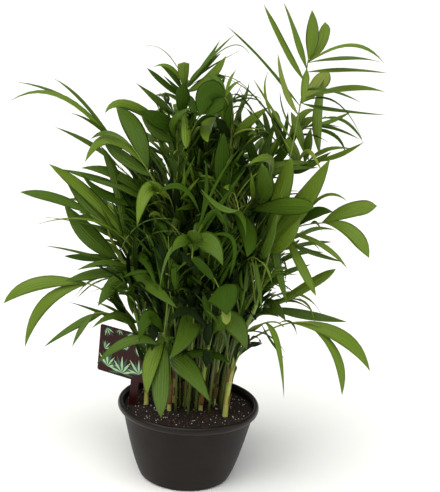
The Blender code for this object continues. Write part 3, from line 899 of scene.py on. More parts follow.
        Leaf((186, 90), (184, 77), (184, 62), -60, 9.5, 5, 3, 0.93),
        Leaf((182, 116), (182, 100), (184, 83), -75, 12, 8, 1, 0.55),
        Leaf((183, 109), (186, 128), (186, 149), -80, 8, 10, 3, 0.66),
        Leaf((187, 88), (208, 60), (234, 35), -70, 3.5, 50, 2),
        Leaf((186, 92), (209, 77), (226, 56), -60, 8, 25, 3, 0.50),
        Leaf((187, 88), (204, 65), (220, 40), -50, 5, 40, 2),
        Leaf((186, 92), (203, 82), (218, 68), -50, 7, 25, 1, 0.50),
        Leaf((187, 88), (204, 71), (239, 51), -40, 2.5, 50, 2),
        Leaf((187, 88), (200, 71), (221, 53), -45, 6, 25, 2, 0.50),
        Leaf((187, 88), (225, 48), (249, 53), -40, 2.5, 70, 2),
        Leaf((187, 88), (168, 54), (145, 46), -40, 2, 78, 2),
        Leaf((187, 88), (227, 76), (262, 107), -40, 2, 60, 1),
    ),
    "frond_top_front": (
        Leaf((225, 98), (209, 94), (200, 117), -105, 20, -25, 1, 0.46),
        Leaf((225, 98), (216, 103), (206, 116), -90, 15, 20, 1, 0.50),
        Leaf((231, 129), (229, 108), (226, 90), -70, 9, 20, 2, 0.70),
        Leaf((225, 98), (229, 82), (236, 70), -60, 3, 30, 3),
        Leaf((225, 98), (232, 86), (241, 81), -60, 3, 30, 3),
        Leaf((231, 138), (224, 128), (216, 118), -60, 9, 20, 0, 0.50),
        Leaf((225, 98), (219, 80), (206, 76), -60, 5, 30, 2),
    ),
    "frond_top_middle": (
        Leaf((231, 137), (248, 122), (269, 107), -40, 9, 25, 3, 0.45),
        Leaf((231, 142), (240, 131), (264, 129), -60, 2.2, 40, 4),
        Leaf((231, 148), (227, 125), (232, 100), -60, 7, 10, 1, 0.50),
        Leaf((232, 116), (244, 104), (256, 92), -20, 2, 50, 1),
        Leaf((232, 95), (242, 97), (253, 114), -20, 2, 50, 0),
        Leaf((232, 105), (245, 98), (262, 102), -20, 2, 50, 1),
    ),
    "frond_top_right": (
        Leaf((223, 110), (207, 124), (208, 142), -100, 10, 10, 3, 0.60),
        Leaf((223, 110), (240, 100), (254, 113), 20, 3, 40, 1),
        Leaf((228, 103), (245, 95), (262, 99), 40, 3, 50, 2),
        Leaf((214, 123), (230, 108), (246, 108), 40, 3, 40, 2),
        Leaf((218, 116), (232, 100), (241, 86), 50, 2, 45, 2),
    ),
    # The leaves on the back and middle canes below are all in the deep tone: painted shade that fills the dark gaps low
    # in the crown.
    "cane_back_left": (
        Leaf((160, 310), (149, 318), (150, 350), 90, 12, 10, 0, 0.50),
        Leaf((160, 310), (172, 312), (176, 350), 90, 13, 10, 0, 0.50),
        Leaf((163, 345), (178, 330), (188, 367), 80, 11, 10, 0, 0.50),
        Leaf((164, 370), (172, 350), (175, 386), 70, 9, 10, 0, 0.50),
        Leaf((162, 350), (170, 352), (171, 384), 75, 10, 10, 0, 0.50),
    ),
    "cane_back_right": (
        Leaf((211, 320), (198, 315), (192, 354), 100, 13, 10, 0, 0.50),
        Leaf((208, 345), (197, 335), (190, 377), 95, 11, 10, 0, 0.50),
        Leaf((210, 325), (222, 320), (226, 360), 100, 13, 10, 0, 0.50),
        Leaf((205, 365), (214, 350), (218, 386), 90, 11, 10, 0, 0.50),
        Leaf((206, 355), (206, 345), (207, 382), 90, 10, 10, 0, 0.50),
        Leaf((211, 322), (216, 320), (213, 354), 95, 12, 10, 0, 0.50),
        Leaf((207, 350), (212, 344), (209, 386), 88, 11, 10, 0, 0.50),
        Leaf((212, 305), (219, 316), (219, 354), 100, 11, 10, 0, 0.50),
        Leaf((206, 348), (199, 348), (198, 378), 90, 10, 10, 0, 0.50),
        Leaf((205, 368), (218, 358), (223, 390), 85, 10, 10, 0, 0.50),
    ),
    "cane_right_back": (
        Leaf((240, 345), (230, 335), (226, 374), 60, 10, 10, 0, 0.50),
        Leaf((235, 365), (226, 350), (219, 384), 60, 9, 10, 0, 0.50),
        Leaf((245, 325), (234, 322), (233, 354), 60, 11, 10, 0, 0.50),
    ),
    "cane_middle_back": (
        Leaf((197, 290), (186, 300), (182, 345), 80, 13, 10, 0, 0.50),
        Leaf((198, 280), (209, 295), (212, 335), 80, 13, 10, 0, 0.50),
    ),
    "cane_inner_left": (
        Leaf((175, 212), (169, 198), (173, 172), -40, 6, 12, 0, 0.50),
        Leaf((175, 225), (177, 203), (176, 180), -45, 7, 10, 0, 0.50),
        Leaf((175, 240), (179, 225), (176, 205), -45, 7, 10, 1, 0.50),
        Leaf((175, 200), (184, 180), (195, 156), -60, 3.5, 20, 2, 0.50),
        Leaf((175, 206), (187, 192), (199, 178), -60, 3, 20, 3, 0.50),
        Leaf((175, 202), (183, 186), (184, 166), -70, 3, 20, 3, 0.50),
    ),
    "cane_inner_back": (
        Leaf((204, 192), (196, 176), (183, 156), -60, 3.5, 20, 3, 0.50),
        Leaf((204, 190), (199, 170), (200, 148), -60, 3.5, 20, 2, 0.50),
        Leaf((203, 200), (192, 188), (181, 172), -60, 3.5, 20, 3, 0.50),
        Leaf((203, 205), (195, 183), (190, 163), -70, 3, 20, 3, 0.50),
        Leaf((204, 195), (210, 176), (214, 150), -50, 3.5, 20, 2, 0.50),
        Leaf((203, 212), (194, 204), (182, 198), -60, 3, 30, 2, 0.50),
        Leaf((203, 215), (212, 205), (216, 190), -60, 3, 20, 2, 0.50),
    ),
}


def nearest_share(blade, pixel):
    """How far along a blade its rib shows nearest to a pixel."""
    def miss(share):
        x, y = pixel_of(blade.centre(share))
        return math.hypot(x - pixel[0], y - pixel[1])

    return min((step / 100 for step in range(101)), key=miss)


def add_seen_leaf(shape, blade, leaf, chance):
    """One leaf of the picture: a curve through its foot on the rib, its middle and its tip."""
    foot = blade.centre(nearest_share(blade, leaf.foot))
    depth = leaf.depth * MM
    tip = seen_at(leaf.tip, depth)
    middle = seen_at(leaf.middle, (foot.y + depth) / 2)
    bend = middle * 2 - (foot + tip) / 2
    turn = math.radians(leaf.turn)
    spine = [foot.lerp(bend, step / LEAF_ROWS).lerp(bend.lerp(tip, step / LEAF_ROWS), step / LEAF_ROWS)
             for step in range(LEAF_ROWS + 1)]
    normals = []
    for at, point in enumerate(spine):
        along = (spine[min(at + 1, LEAF_ROWS)] - spine[max(at - 1, 0)]).normalized()
        toward = CAMERA_PLACE - point
        toward = (toward - along * toward.dot(along)).normalized()
        lift = along.cross(toward)
        normals.append((toward, lift))
    sky = 1.0 if normals[LEAF_ROWS // 2][1].z >= 0 else -1.0
    normals = [toward * math.cos(turn) + lift * sky * math.sin(turn) for toward, lift in normals]
    twist = 0.25 * chance.uniform(-1, 1)
    add_leaflet(shape, spine, normals, leaf.half * MM, twist, leaf.belly, sizes().leaflet_skin, leaf.tone)


RIB_STEPS = 26
RIB_SIDES = 8
RIB_SINK = 2.5 * MM


def add_rib(shape, blade, reach=RACHIS_END):
    """A stalk and rib that taper from the cane to the last pair of leaflets."""
    foot = blade.centre(0.0)
    before = foot - (blade.centre(0.02) - foot).normalized() * RIB_SINK
    points, radii = [before], [sizes().rib_half * 1.25]
    for step in range(RIB_STEPS + 1):
        share = reach * step / RIB_STEPS
        points.append(blade.centre(share))
        flare = 0.45 * math.exp(-share * blade.length / (12 * MM))
        radii.append(sizes().rib_half * (1.0 - 0.55 * share + flare))
    shape.add(*tube(points, radii, RIB_SIDES), 0)


def grow_frond(name, blade, growth):
    """One frond's two pieces: its leaflets, and its stalk and rib."""
    chance = random.Random(name)
    leaflets, rib = Shape(), Shape()
    add_fan(leaflets, blade, growth, chance)
    for leaf in LEAVES.get(name, ()):
        add_seen_leaf(leaflets, blade, leaf, chance)
    feet = [nearest_share(blade, leaf.foot) + 0.01 for leaf in LEAVES.get(name, ())]
    add_rib(rib, blade, min(max(feet + [growth.rib]), 1.0))
    leaflets.piece(name + "_leaflets", leaf_materials(), "leaf", name)
    rib.piece(name + "_rib", [rib_material()], "leaf", name)


GROWTHS = {
    "frond_right_crest": Growth(until=0.0, rib=0.84),
    "frond_right_high": Growth(half=0.7, until=0.35, rib=0.72),
    "frond_right_upper": Growth(half=0.6, until=0.35, rib=0.82),
    "frond_right_leafy": Growth(half=0.7, until=0.15, rib=0.76),
    "frond_right_middle": Growth(until=0.0, rib=0.4),
    "frond_right_fan": Growth(until=0.0, rib=0.45),
    "frond_left_thin": Growth(until=0.0, rib=0.42),
    "frond_left_fork": Growth(until=0.0, rib=0.42),
    "frond_left_low": Growth(until=0.0, rib=0.42),
    "frond_left_broad": Growth(until=0.0, rib=0.52),
    "frond_left_middle": Growth(half=0.7, until=0.3, rib=0.45),
    "frond_left_upper": Growth(half=0.7, until=0.3, rib=0.62),
    "frond_left_arching": Growth(half=0.7, until=0.3, rib=0.6),
    "frond_right_fork": Growth(until=0.0, rib=0.52),
    "frond_front_side": Growth(until=0.0, rib=0.5),
    "frond_front_hanging": Growth(until=0.0, rib=0.32),
    "frond_front_low": Growth(until=0.0, rib=0.1),
    "frond_front_left": Growth(tone=0, half=0.5, until=0.25, rib=0.4),
    "frond_front_centre": Growth(until=0.0, rib=0.6),
    "frond_front_right": Growth(until=0.0, rib=0.78),
    "frond_front_corner": Growth(until=0.0, rib=0.5),
    "frond_front_arch": Growth(until=0.0, rib=0.45),
    "frond_front_upper": Growth(until=0.0, rib=0.95),
    "frond_front_facing": Growth(half=0.7, until=0.3, rib=0.7),
    "frond_top_left": Growth(until=0.0, rib=0.4),
    "frond_top_centre": Growth(until=0.0, rib=0.82),
    "frond_top_front": Growth(until=0.0, rib=0.5),
    "frond_top_middle": Growth(half=0.5, until=0.25, rib=0.5),
    "frond_top_right": Growth(until=0.0, rib=0.5),
    "frond_back_low_1": Growth(half=0.6, pitch=1.6, until=0.6),
    "frond_back_low_5": Growth(half=0.6, pitch=1.6, until=0.6),
    "frond_back_middle_1": Growth(half=0.6, pitch=1.6, until=0.7),
    # Two of the back fronds below take the bright tone: painted light on the back of the crown, which the lamps in
    # front leave in shade.
    "frond_back_low_2": Growth(tone=2),
    "frond_back_low_3": Growth(tone=3),
    "frond_back_low_4": Growth(tone=2),
    "frond_back_middle_2": Growth(tone=3),
    "frond_back_middle_3": Growth(tone=2),
    "frond_back_upper_1": Growth(tone=2, half=0.6),
    "frond_back_upper_2": Growth(tone=2, half=0.6),
}
LOW_TONE, MIDDLE_TONE, HIGH_TONE = 2, 2, 2
LOW_HEIGHT, HIGH_HEIGHT = 0.38, 0.60


def usual_growth(blade):
    """A tone picked by the height of the blade's tip; the low, middle and high tones are now all the same middle green.
    """
    height = blade.centre(1.0).z
    tone = LOW_TONE if height < LOW_HEIGHT else HIGH_TONE if height > HIGH_HEIGHT else MIDDLE_TONE
    return Growth(tone=tone)


class PALM_OT_fronds(bpy.types.Operator):
    """Grow every frond on the blade that stands for it"""

    bl_idname = "palm.fronds"
    bl_label = "Grow fronds"

    def execute(self, context):
        for name in sorted(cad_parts):
            if name.startswith("frond_"):
                blade = read_blade(name)
                grow_frond(name, blade, GROWTHS.get(name) or usual_growth(blade))
        for name in sorted(LEAVES):
            if name.startswith("cane_"):
                axis, radii = read_cane(name)
                stem = Blade(axis, [UP] * len(axis), [Vector()] * len(axis), [Vector()] * len(axis))
                chance = random.Random(name)
                leaves = Shape()
                for leaf in LEAVES[name]:
                    add_seen_leaf(leaves, stem, leaf, chance)
                leaves.piece(name + "_single_leaves", leaf_materials(), "leaf")
        return {"FINISHED"}


# Young fronds

GOLDEN_TURN = math.radians(137.5)
YOUNG_STATIONS = 9
YOUNG_STALK = 0.28
CROWN_MIDDLE = Vector((-0.01, 0.065, 0.44))
CROWN_REACH = Vector((0.165, 0.140, 0.225))
LIT_BEHIND, LIT_ABOVE, LIT_BESIDE = 0.125, 0.46, 0.13
OUTER_YOUNG, INNER_YOUNG = 6, 9
SHOOTS = 40


def in_crown(foot, tip):
    """The tip, drawn back towards the foot until it lies in the crown's dense middle."""
    for step in range(12):
        point = tip.lerp(foot, step / 20)
        off = point - CROWN_MIDDLE
        if sum((off[axis] / CROWN_REACH[axis]) ** 2 for axis in range(3)) < 1.0:
            break
    return point


def young_blade(foot, tip, arch, half):
    """A blade for a frond that has no node: an arc from its foot to its tip, with the same kind of outline."""
    level = Vector((tip.x - foot.x, tip.y - foot.y, 0.0))
    level = level.normalized() if level.length > 1 * MM else Vector((1.0, 0.0, 0.0))
    side = level.cross(UP)
    above = side.cross(tip - foot).normalized()
    bend = (foot + tip) / 2 + above * 2 * arch
    centres, normals, lefts, rights = [], [], [], []
    for station in range(YOUNG_STATIONS):
        share = station / (YOUNG_STATIONS - 1)
        centres.append(foot.lerp(bend, share).lerp(bend.lerp(tip, share), share))
        along = (bend.lerp(tip, share) - foot.lerp(bend, share)).normalized()
        normals.append(side.cross(along).normalized())
        leafy = max((share - YOUNG_STALK) / (1.0 - YOUNG_STALK), 0.0)
        width = max(half * math.sin(math.pi * (0.05 + 0.75 * leafy)) ** 0.8 if leafy else 0.0, 1.6 * MM)
        lefts.append(-side * width - normals[-1] * width * 0.2)
        rights.append(side * width - normals[-1] * width * 0.2)
    return Blade(centres, normals, lefts, rights)


def add_young(leaflets, ribs, foot, heading, chance):
    """One young frond that rises steeply inside the crown."""
    length = chance.uniform(0.19, 0.34)
    rise = math.radians(chance.uniform(50, 86))
    way = Vector((math.cos(heading) * math.cos(rise), math.sin(heading) * math.cos(rise), math.sin(rise)))
    tip = in_crown(foot, foot + way * length)
    reach = (tip - foot).length
    if reach < 0.08:
        return
    blade = young_blade(foot, tip, reach * chance.uniform(0.03, 0.10), reach * chance.uniform(0.12, 0.19))
    # Most young fronds take the deep tone: painted shade inside the crown.
    growth = Growth(tone=chance.choice((0, 0, 0, 1, 2)), half=chance.uniform(0.35, 0.6), pitch=1.1, length=0.15)
    # A tip that reaches out of the crown's dense middle, behind, above or to the side, takes a paler tone: painted
    # light on the crown's outside.
    if tip.y > LIT_BEHIND:
        growth.tone += 1
    if tip.z > LIT_ABOVE or abs(tip.x) > LIT_BESIDE:
        growth.tone += 1
    add_fan(leaflets, blade, growth, chance)
    add_rib(ribs, blade)


def young_pieces(name, leaflets, ribs, *nodes):
    leaflets.piece(name + "_young_leaflets", leaf_materials(), "leaf", *nodes)
    ribs.piece(name + "_young_ribs", [rib_material()], "leaf", *nodes)


def rib_material():
    return material("rib", skin_finish, "green_rib_skin", colours().rib)


def add_spear(ribs, foot, height):
    """A green crownshaft with an unopened leaf standing from it."""
    shaft = [foot + UP * height * 0.8 * step / 8 for step in range(9)]
    ribs.add(*tube(shaft, [(4.6 - 2.6 * step / 8) * MM for step in range(9)], 10), 0)
    spear = [shaft[-1] + UP * 0.085 * step / 8 for step in range(9)]
    slim = [max(2.4 * math.sin(math.pi * (0.3 + 0.68 * step / 8)), 0.2) * MM for step in range(9)]
    ribs.add(*tube(spear, slim, 8), 0)


class PALM_OT_young(bpy.types.Operator):
    """Grow the young fronds, spears and shoots that make the middle of the crown"""

    bl_idname = "palm.young"
    bl_label = "Grow young fronds"

    def execute(self, context):
        for name in sorted(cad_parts):
            if not name.startswith("cane_"):
                continue
            chance = random.Random(name + " young")
            axis, radii = read_cane(name)
            leaflets, ribs = Shape(), Shape()
            inner = "inner" in name
            count = INNER_YOUNG if inner else OUTER_YOUNG
            heading = chance.uniform(0, math.tau)
            low = 0.22 if inner else 0.16
            for index in range(count):
                height = low + (axis[-1].z - 6 * MM - low) * (index + 0.5 * chance.random()) / (count - 1)
                foot, _ = axis_at(axis, radii, min(height, axis[-1].z - 4 * MM))
                add_young(leaflets, ribs, foot, heading + GOLDEN_TURN * index, chance)
            nodes = []
            if inner:
                heart = "heart_" + name.rsplit("_", 1)[1]
                nodes.append(heart)
                low_corner, high_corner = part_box(heart)
                top = Vector((axis[-1].x, axis[-1].y, low_corner.z - 1 * MM))
                add_spear(ribs, top, high_corner.z - top.z)
                for index in range(5):
                    start = top + UP * (high_corner.z - top.z) * (0.1 + 0.13 * index)
                    add_young(leaflets, ribs, start, heading + GOLDEN_TURN * index, chance)
            young_pieces(name, leaflets, ribs, *nodes)
        self.grow_shoots()
        return {"FINISHED"}

    def grow_shoots(self):
        """Thin young stems that come up between the canes, each with its own frond."""
        chance = random.Random("shoots")
        stems, leaflets, ribs = Shape(), Shape(), Shape()
        for index in range(SHOOTS):
            angle = GOLDEN_TURN * index
            spread = math.sqrt((index + 0.5) / SHOOTS)
            start = Vector((0.078 * spread * math.cos(angle), 0.020 + 0.055 * spread * math.sin(angle), 0.120))
            lean = Vector((start.x * 0.4, (start.y - 0.02) * 0.4, 0.0))
            height = chance.uniform(0.09, 0.24)
            points = [start + UP * height * step / 8 + lean * (step / 8) ** 2 for step in range(9)]
            radii = [(2.3 - 0.9 * step / 8) * MM for step in range(9)]
            stems.add(*tube(points, radii, 8), 0)
            add_young(leaflets, ribs, points[-1], angle, chance)
        # The shoots' darker green is painted shade inside the clump.
        stems.piece("shoot_stems", [material("shoot", skin_finish, "green_shoot_skin", colours().shoot)], "cane")
        young_pieces("shoot", leaflets, ribs)


# Canes

CANE_SIDES = 14
CANE_STEP = 2.2 * MM
SCAR_SWELL = 0.13
SCAR_HALF = 1.6 * MM
FOOT_SINK = 9 * MM
SHEATH_SIDES = 18
SHEATH_ROWS = 9
SHEATH_SKIN = 0.45 * MM


def axis_at(axis, radii, height):
    """A cane's axis point and radius at a height, between its rings."""
    for (a, ra), (b, rb) in zip(zip(axis, radii), zip(axis[1:], radii[1:])):
        if height <= b.z or b is axis[-1]:
            share = (height - a.z) / (b.z - a.z)
            return a.lerp(b, share), ra + (rb - ra) * share


def make_cane(name, chance):
    """A cane with swollen ring scars and a flared foot, giving back where its scars lie for the sheaths."""
    axis, radii = read_cane(name)
    bottom, top = axis[0].z - FOOT_SINK, axis[-1].z
    scars = []
    height = axis[0].z + sizes().scar_pitch * chance.uniform(0.3, 0.8)
    while height < top - SCAR_HALF:
        scars.append(height)
        height += sizes().scar_pitch * chance.uniform(0.75, 1.3)
    steps = math.ceil((top - bottom) / CANE_STEP)
    points, widths = [], []
    for step in range(steps + 1):
        level = bottom + (top - bottom) * step / steps
        point, radius = axis_at(axis, radii, level)
        swell = sum(math.exp(-(((level - scar) / SCAR_HALF) ** 2)) for scar in scars)
        foot = 0.25 * math.exp(-(level - bottom) / (14 * MM))
        points.append(point)
        widths.append(radius * (1.0 + SCAR_SWELL * swell + foot))
    cane = Shape()
    rings, faces = tube(points, widths, CANE_SIDES)
    slots = []
    for step in range(steps):
        level = bottom + (top - bottom) * (step + 0.5) / steps
        scarred = any(abs(level - scar) < SCAR_HALF * 0.55 for scar in scars)
        slots.extend([1 if scarred else 0] * CANE_SIDES)
    cane.add(rings, faces, slots + [0, 0])
    skins = [material("cane", cane_finish), material("scar", skin_finish, "ring_scar_skin", colours().scar, 0.6)]
    cane.piece(name + "_ringed", skins, "cane", name)
    return axis, radii, scars


def add_sheath(shape, axis, radii, low, high, chance):
    """A dry sheath: a thin shell wrapped most of the way round a cane, flaring to a slanted torn top."""
    turn = chance.uniform(0, math.tau)
    span = math.radians(chance.uniform(250, 320))
    outer, inner = [], []
    for row in range(SHEATH_ROWS):
        share = row / (SHEATH_ROWS - 1)
        for side in range(SHEATH_SIDES + 1):
            around = side / SHEATH_SIDES
            slant = 0.25 * math.sin(math.pi * around) + 0.06 * noise.noise(Vector((9 * around, low * 90, turn)))
            level = low + (high - low) * share * (0.75 + slant)
            centre, radius = axis_at(axis, radii, level)
            angle = turn + span * around
            out = Vector((math.cos(angle), math.sin(angle), 0.0))
            flare = 0.6 * MM + 2.2 * MM * share ** 3
            outer.append(centre + out * (radius * 1.12 + flare + SHEATH_SKIN))
            inner.append(centre + out * (radius * 1.12 + flare))
    wide = SHEATH_SIDES + 1
    back = len(outer)
    faces = []
    for row in range(SHEATH_ROWS - 1):
        for side in range(SHEATH_SIDES):
            here = row * wide + side
            faces.append((here, here + 1, here + 1 + wide, here + wide))
            faces.append((back + here, back + here + wide, back + here + wide + 1, back + here + 1))
    for side in range(SHEATH_SIDES):
        top = (SHEATH_ROWS - 1) * wide + side
        faces.append((side + 1, side, back + side, back + side + 1))
        faces.append((top, top + 1, back + top + 1, back + top))
    for row in range(SHEATH_ROWS - 1):
        first, last = row * wide, row * wide + SHEATH_SIDES
        faces.append((first, first + wide, back + first + wide, back + first))
        faces.append((last + wide, last, back + last, back + last + wide))
    shape.add(outer + inner, faces, 0)


class PALM_OT_canes(bpy.types.Operator):
    """Make the ringed canes and their dry sheaths"""

    bl_idname = "palm.canes"
    bl_label = "Make canes"

    def execute(self, context):
        sheaths = Shape()
        for name in sorted(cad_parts):
            if not name.startswith("cane_"):
                continue
            chance = random.Random(name)
            axis, radii, scars = make_cane(name, chance)
            for low in scars[: chance.choice((0, 1, 1, 2))]:
                high = min(low + chance.uniform(0.018, 0.042), axis[-1].z - 4 * MM)
                add_sheath(sheaths, axis, radii, low, high, chance)
        skin = material("sheath", grain_finish, "dry_papery_sheath", colours().sheath, 4 * MM, 0.8)
        sheaths.piece("dry_sheaths", [skin], "cane")
        return {"FINISHED"}


# Pot, soil and tag

TURN_STEPS = 128


def turned(shape, profile, slot=0):
    """Adds a solid turned round the Z axis from (radius, height) points that start and end on the axis."""
    points, faces = [Vector((0.0, 0.0, profile[0][1]))], []
    for radius, height in profile[1:-1]:
        for step in range(TURN_STEPS):
            angle = math.tau * step / TURN_STEPS
            points.append(Vector((radius * math.cos(angle), radius * math.sin(angle), height)))
    points.append(Vector((0.0, 0.0, profile[-1][1])))
    rings = len(profile) - 2
    last = len(points) - 1
    for step in range(TURN_STEPS):
        after = (step + 1) % TURN_STEPS
        faces.append((0, 1 + after, 1 + step))
        for ring in range(rings - 1):
            low, high = 1 + ring * TURN_STEPS, 1 + (ring + 1) * TURN_STEPS
            faces.append((low + step, low + after, high + after, high + step))
        top = 1 + (rings - 1) * TURN_STEPS
        faces.append((top + step, top + after, last))
    shape.add(points, faces, slot)


LIP_DROP = 14 * MM
LIP_HALF_WIDTH = 5 * MM
WALL_RISE = 0.70
FOOT_SHARE = 0.622
FLAT_SHARE = 0.571
FOOT_ROUND = 5 * MM
POT_FLOOR = 4 * MM
WALL_STEPS = 30
LIP_STEPS = 14


def pot_profile(wall):
    """The pot's outer wall, rolled lip and inner wall, from the middle of its foot round to the middle of its floor."""
    low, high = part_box("pot")
    rim, top = (high.x - low.x) / 2, high.z
    wall_top = top - LIP_DROP
    foot, flat, shoulder = rim * FOOT_SHARE, rim * FLAT_SHARE, rim - 9 * MM

    def radius(height):
        return foot + (shoulder - foot) * (max(height, 0.0) / wall_top) ** WALL_RISE

    levels = [FOOT_ROUND + (wall_top - FOOT_ROUND) * step / WALL_STEPS for step in range(WALL_STEPS + 1)]
    outside = [(0.0, 0.0), (flat, 0.0)]
    for step in range(1, 6):
        turn = math.pi / 2 * step / 6
        reach = flat + (radius(FOOT_ROUND) - flat) * math.sin(turn)
        outside.append((reach, FOOT_ROUND * (1.0 - math.cos(turn))))
    outside += [(radius(level), level) for level in levels]
    middle = (rim - LIP_HALF_WIDTH, top - LIP_DROP / 2)
    lip = []
    for step in range(LIP_STEPS + 1):
        turn = math.radians(-62 + (180 + 62) * step / LIP_STEPS)
        lip.append((middle[0] + LIP_HALF_WIDTH * math.cos(turn), middle[1] + LIP_DROP / 2 * math.sin(turn)))
    inside = [(radius(level) - wall, level) for level in reversed(levels) if level > POT_FLOOR]
    return outside + lip + inside + [(flat, POT_FLOOR), (0.0, POT_FLOOR)]


class PALM_OT_pot(bpy.types.Operator):
    """Make the moulded pot with its rolled lip"""

    bl_idname = "palm.pot"
    bl_label = "Make pot"

    def execute(self, context):
        pot = Shape()
        turned(pot, pot_profile(sizes().pot_wall))
        rim = max(x for x, y, z in pot.points)
        top = max(z for x, y, z in pot.points)
        edge = rim - 2 * LIP_HALF_WIDTH - 1 * MM
        for at, face in enumerate(pot.faces):
            corners = [pot.points[corner] for corner in face]
            if all(z > top - LIP_DROP and math.hypot(x, y) > edge for x, y, z in corners):
                pot.slots[at] = 1
        wall = material("pot", pot_finish, "moulded_polypropylene", 0.50, 0.18)
        lip = material("lip", pot_finish, "rubbed_polypropylene", 0.38, 0.22)
        pot.piece("nursery_pot", [wall, lip], "pot", "pot")
        return {"FINISHED"}


SOIL_RINGS = 46
SOIL_RELIEF = 3.2 * MM
PERLITE_COUNT = 260
BARK_COUNT = 380


def soil_height(x, y, top):
    """The uneven top of the soil: low mounds with crumbs on them."""
    mound = noise.noise(Vector((x / 0.045, y / 0.045, 0.0)))
    crumb = noise.noise(Vector((x / 0.008, y / 0.008, 3.0)))
    return top + SOIL_RELIEF * (0.65 * mound + 0.35 * crumb) - 0.5 * MM


def add_crumb(shape, centre, size, stretch, chance):
    """One closed crumb: a small uneven six-sided gem."""
    turn = Matrix.Rotation(chance.uniform(0, math.tau), 3, "Z") @ Matrix.Rotation(chance.uniform(-0.7, 0.7), 3, "X")
    rings = ((-0.8, 0.55), (0.0, 1.0), (0.75, 0.6))
    points = [turn @ Vector((0, 0, -1.0)) * size * 0.5]
    for height, wide in rings:
        for side in range(6):
            angle = math.tau * side / 6
            spot = Vector((math.cos(angle) * stretch, math.sin(angle), 0.0)) * wide * chance.uniform(0.75, 1.2)
            spot.z = height
            points.append(turn @ spot * size * 0.5)
    points.append(turn @ Vector((0, 0, 1.0)) * size * 0.5)
    faces = []
    for side in range(6):
        after = (side + 1) % 6
        faces.append((0, 1 + after, 1 + side))
        for ring in range(2):
            low, high = 1 + 6 * ring, 7 + 6 * ring
            faces.append((low + side, low + after, high + after, high + side))
        faces.append((13 + side, 13 + after, 19))
    shape.add([centre + point for point in points], faces, 0)


class PALM_OT_soil(bpy.types.Operator):
    """Make the soil with its perlite and crumbs of bark"""

    bl_idname = "palm.soil"
    bl_label = "Make soil"

    def execute(self, context):
        low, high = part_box("soil")
        reach, top = (high.x - low.x) / 2 + 1.0 * MM, high.z
        soil = Shape()
        rings = [reach * step / SOIL_RINGS for step in range(SOIL_RINGS + 1)]
        depth = top - 30 * MM
        profile = [(0.0, depth), (reach - 9 * MM, depth), *[(r, top) for r in reversed(rings[1:])], (0.0, top)]
        turned(soil, profile)
        raised = []
        for x, y, z in soil.points:
            raised.append((x, y, soil_height(x, y, top) if z > top - 1 * MM else z))
        soil.points = raised
        soil.piece("peat_mix", [material("soil", soil_finish)], "soil", "soil")
        chance = random.Random("soil")
        kinds = (
            ("perlite_grains", PERLITE_COUNT, sizes().perlite, 1.15, "perlite", colours().perlite),
            ("bark_crumbs", BARK_COUNT, sizes().bark, 1.0, "bark", colours().bark),
        )
        for name, count, size, stretch, label, colour in kinds:
            crumbs = Shape()
            for _ in range(count):
                radius = (reach - 5 * MM) * math.sqrt(chance.random())
                angle = chance.uniform(0, math.tau)
                x, y = radius * math.cos(angle), radius * math.sin(angle)
                grain = size * chance.uniform(0.45, 1.25)
                centre = Vector((x, y, soil_height(x, y, top) + 0.15 * grain))
                add_crumb(crumbs, centre, grain * (0.55 if label == "bark" else 1.0), stretch, chance)
            skin = material(label, grain_finish, label + "_crumb", colour, 1.2 * MM, 0.9)
            crumbs.piece(name, [skin], "soil", "soil")
        return {"FINISHED"}


TAG_SIZE = (0.106, 0.088)
TAG_CORNER = 4 * MM
TAG_SKIN = 0.9 * MM
TAG_STAKE = (0.0165, 0.018)
CORNER_STEPS = 6
SPRIGS = (
    (0.020, 0.012, 74, 0.033, 9), (0.051, 0.007, 92, 0.038, 11), (0.086, 0.013, 112, 0.031, 9),
    (0.012, 0.044, 52, 0.021, 7), (0.058, 0.052, 118, 0.019, 7), (0.083, 0.047, 78, 0.020, 7),
    (0.014, 0.084, -62, 0.019, 7), (0.040, 0.087, -88, 0.014, 7), (0.066, 0.086, -100, 0.020, 7), (0.094, 0.082, -125, 0.017, 7),
)
SPRIG_FAN = 19


def tag_frame():
    """The tag's own axes, from its node: the lower middle of its card, and the ways across, out of and up it."""
    spots, _ = welded(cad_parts["plant_tag"].data)
    spots.sort(key=lambda spot: spot.z)
    crown = spots[-4:]
    crown.sort(key=lambda spot: spot.x)
    left, right = (crown[0] + crown[1]) / 2, (crown[2] + crown[3]) / 2
    across_card = (right - left).normalized()
    stake = spots[:4]
    foot = sum(stake, Vector()) / 4
    rise = left - foot
    up = (rise - across_card * rise.dot(across_card)).normalized()
    out = across_card.cross(up)
    return left, foot, across_card, up, out


def flat_solid(shape, outline, thickness, origin, across_card, up, out, slot, back=0.0):
    """Adds a flat closed plate from an outline in the card's own axes."""
    count = len(outline)
    points = []
    for level in (back + thickness, back):
        for x, z in outline:
            points.append(origin + across_card * x + up * z + out * level)
    faces = [tuple(range(count)), tuple(reversed(range(count, 2 * count)))]
    for at in range(count):
        after = (at + 1) % count
        faces.append((after, at, count + at, count + after))
    shape.add(points, faces, slot)


def rounded(width, height, corner):
    """The outline of a card with round corners, anticlockwise from its lower left."""
    outline = []
    for cx, cz, start in ((width - corner, corner, -90), (width - corner, height - corner, 0),
                          (corner, height - corner, 90), (corner, corner, 180)):
        for step in range(CORNER_STEPS + 1):
            turn = math.radians(start + 90 * step / CORNER_STEPS)
            outline.append((cx + corner * math.cos(turn), cz + corner * math.sin(turn)))
    return outline


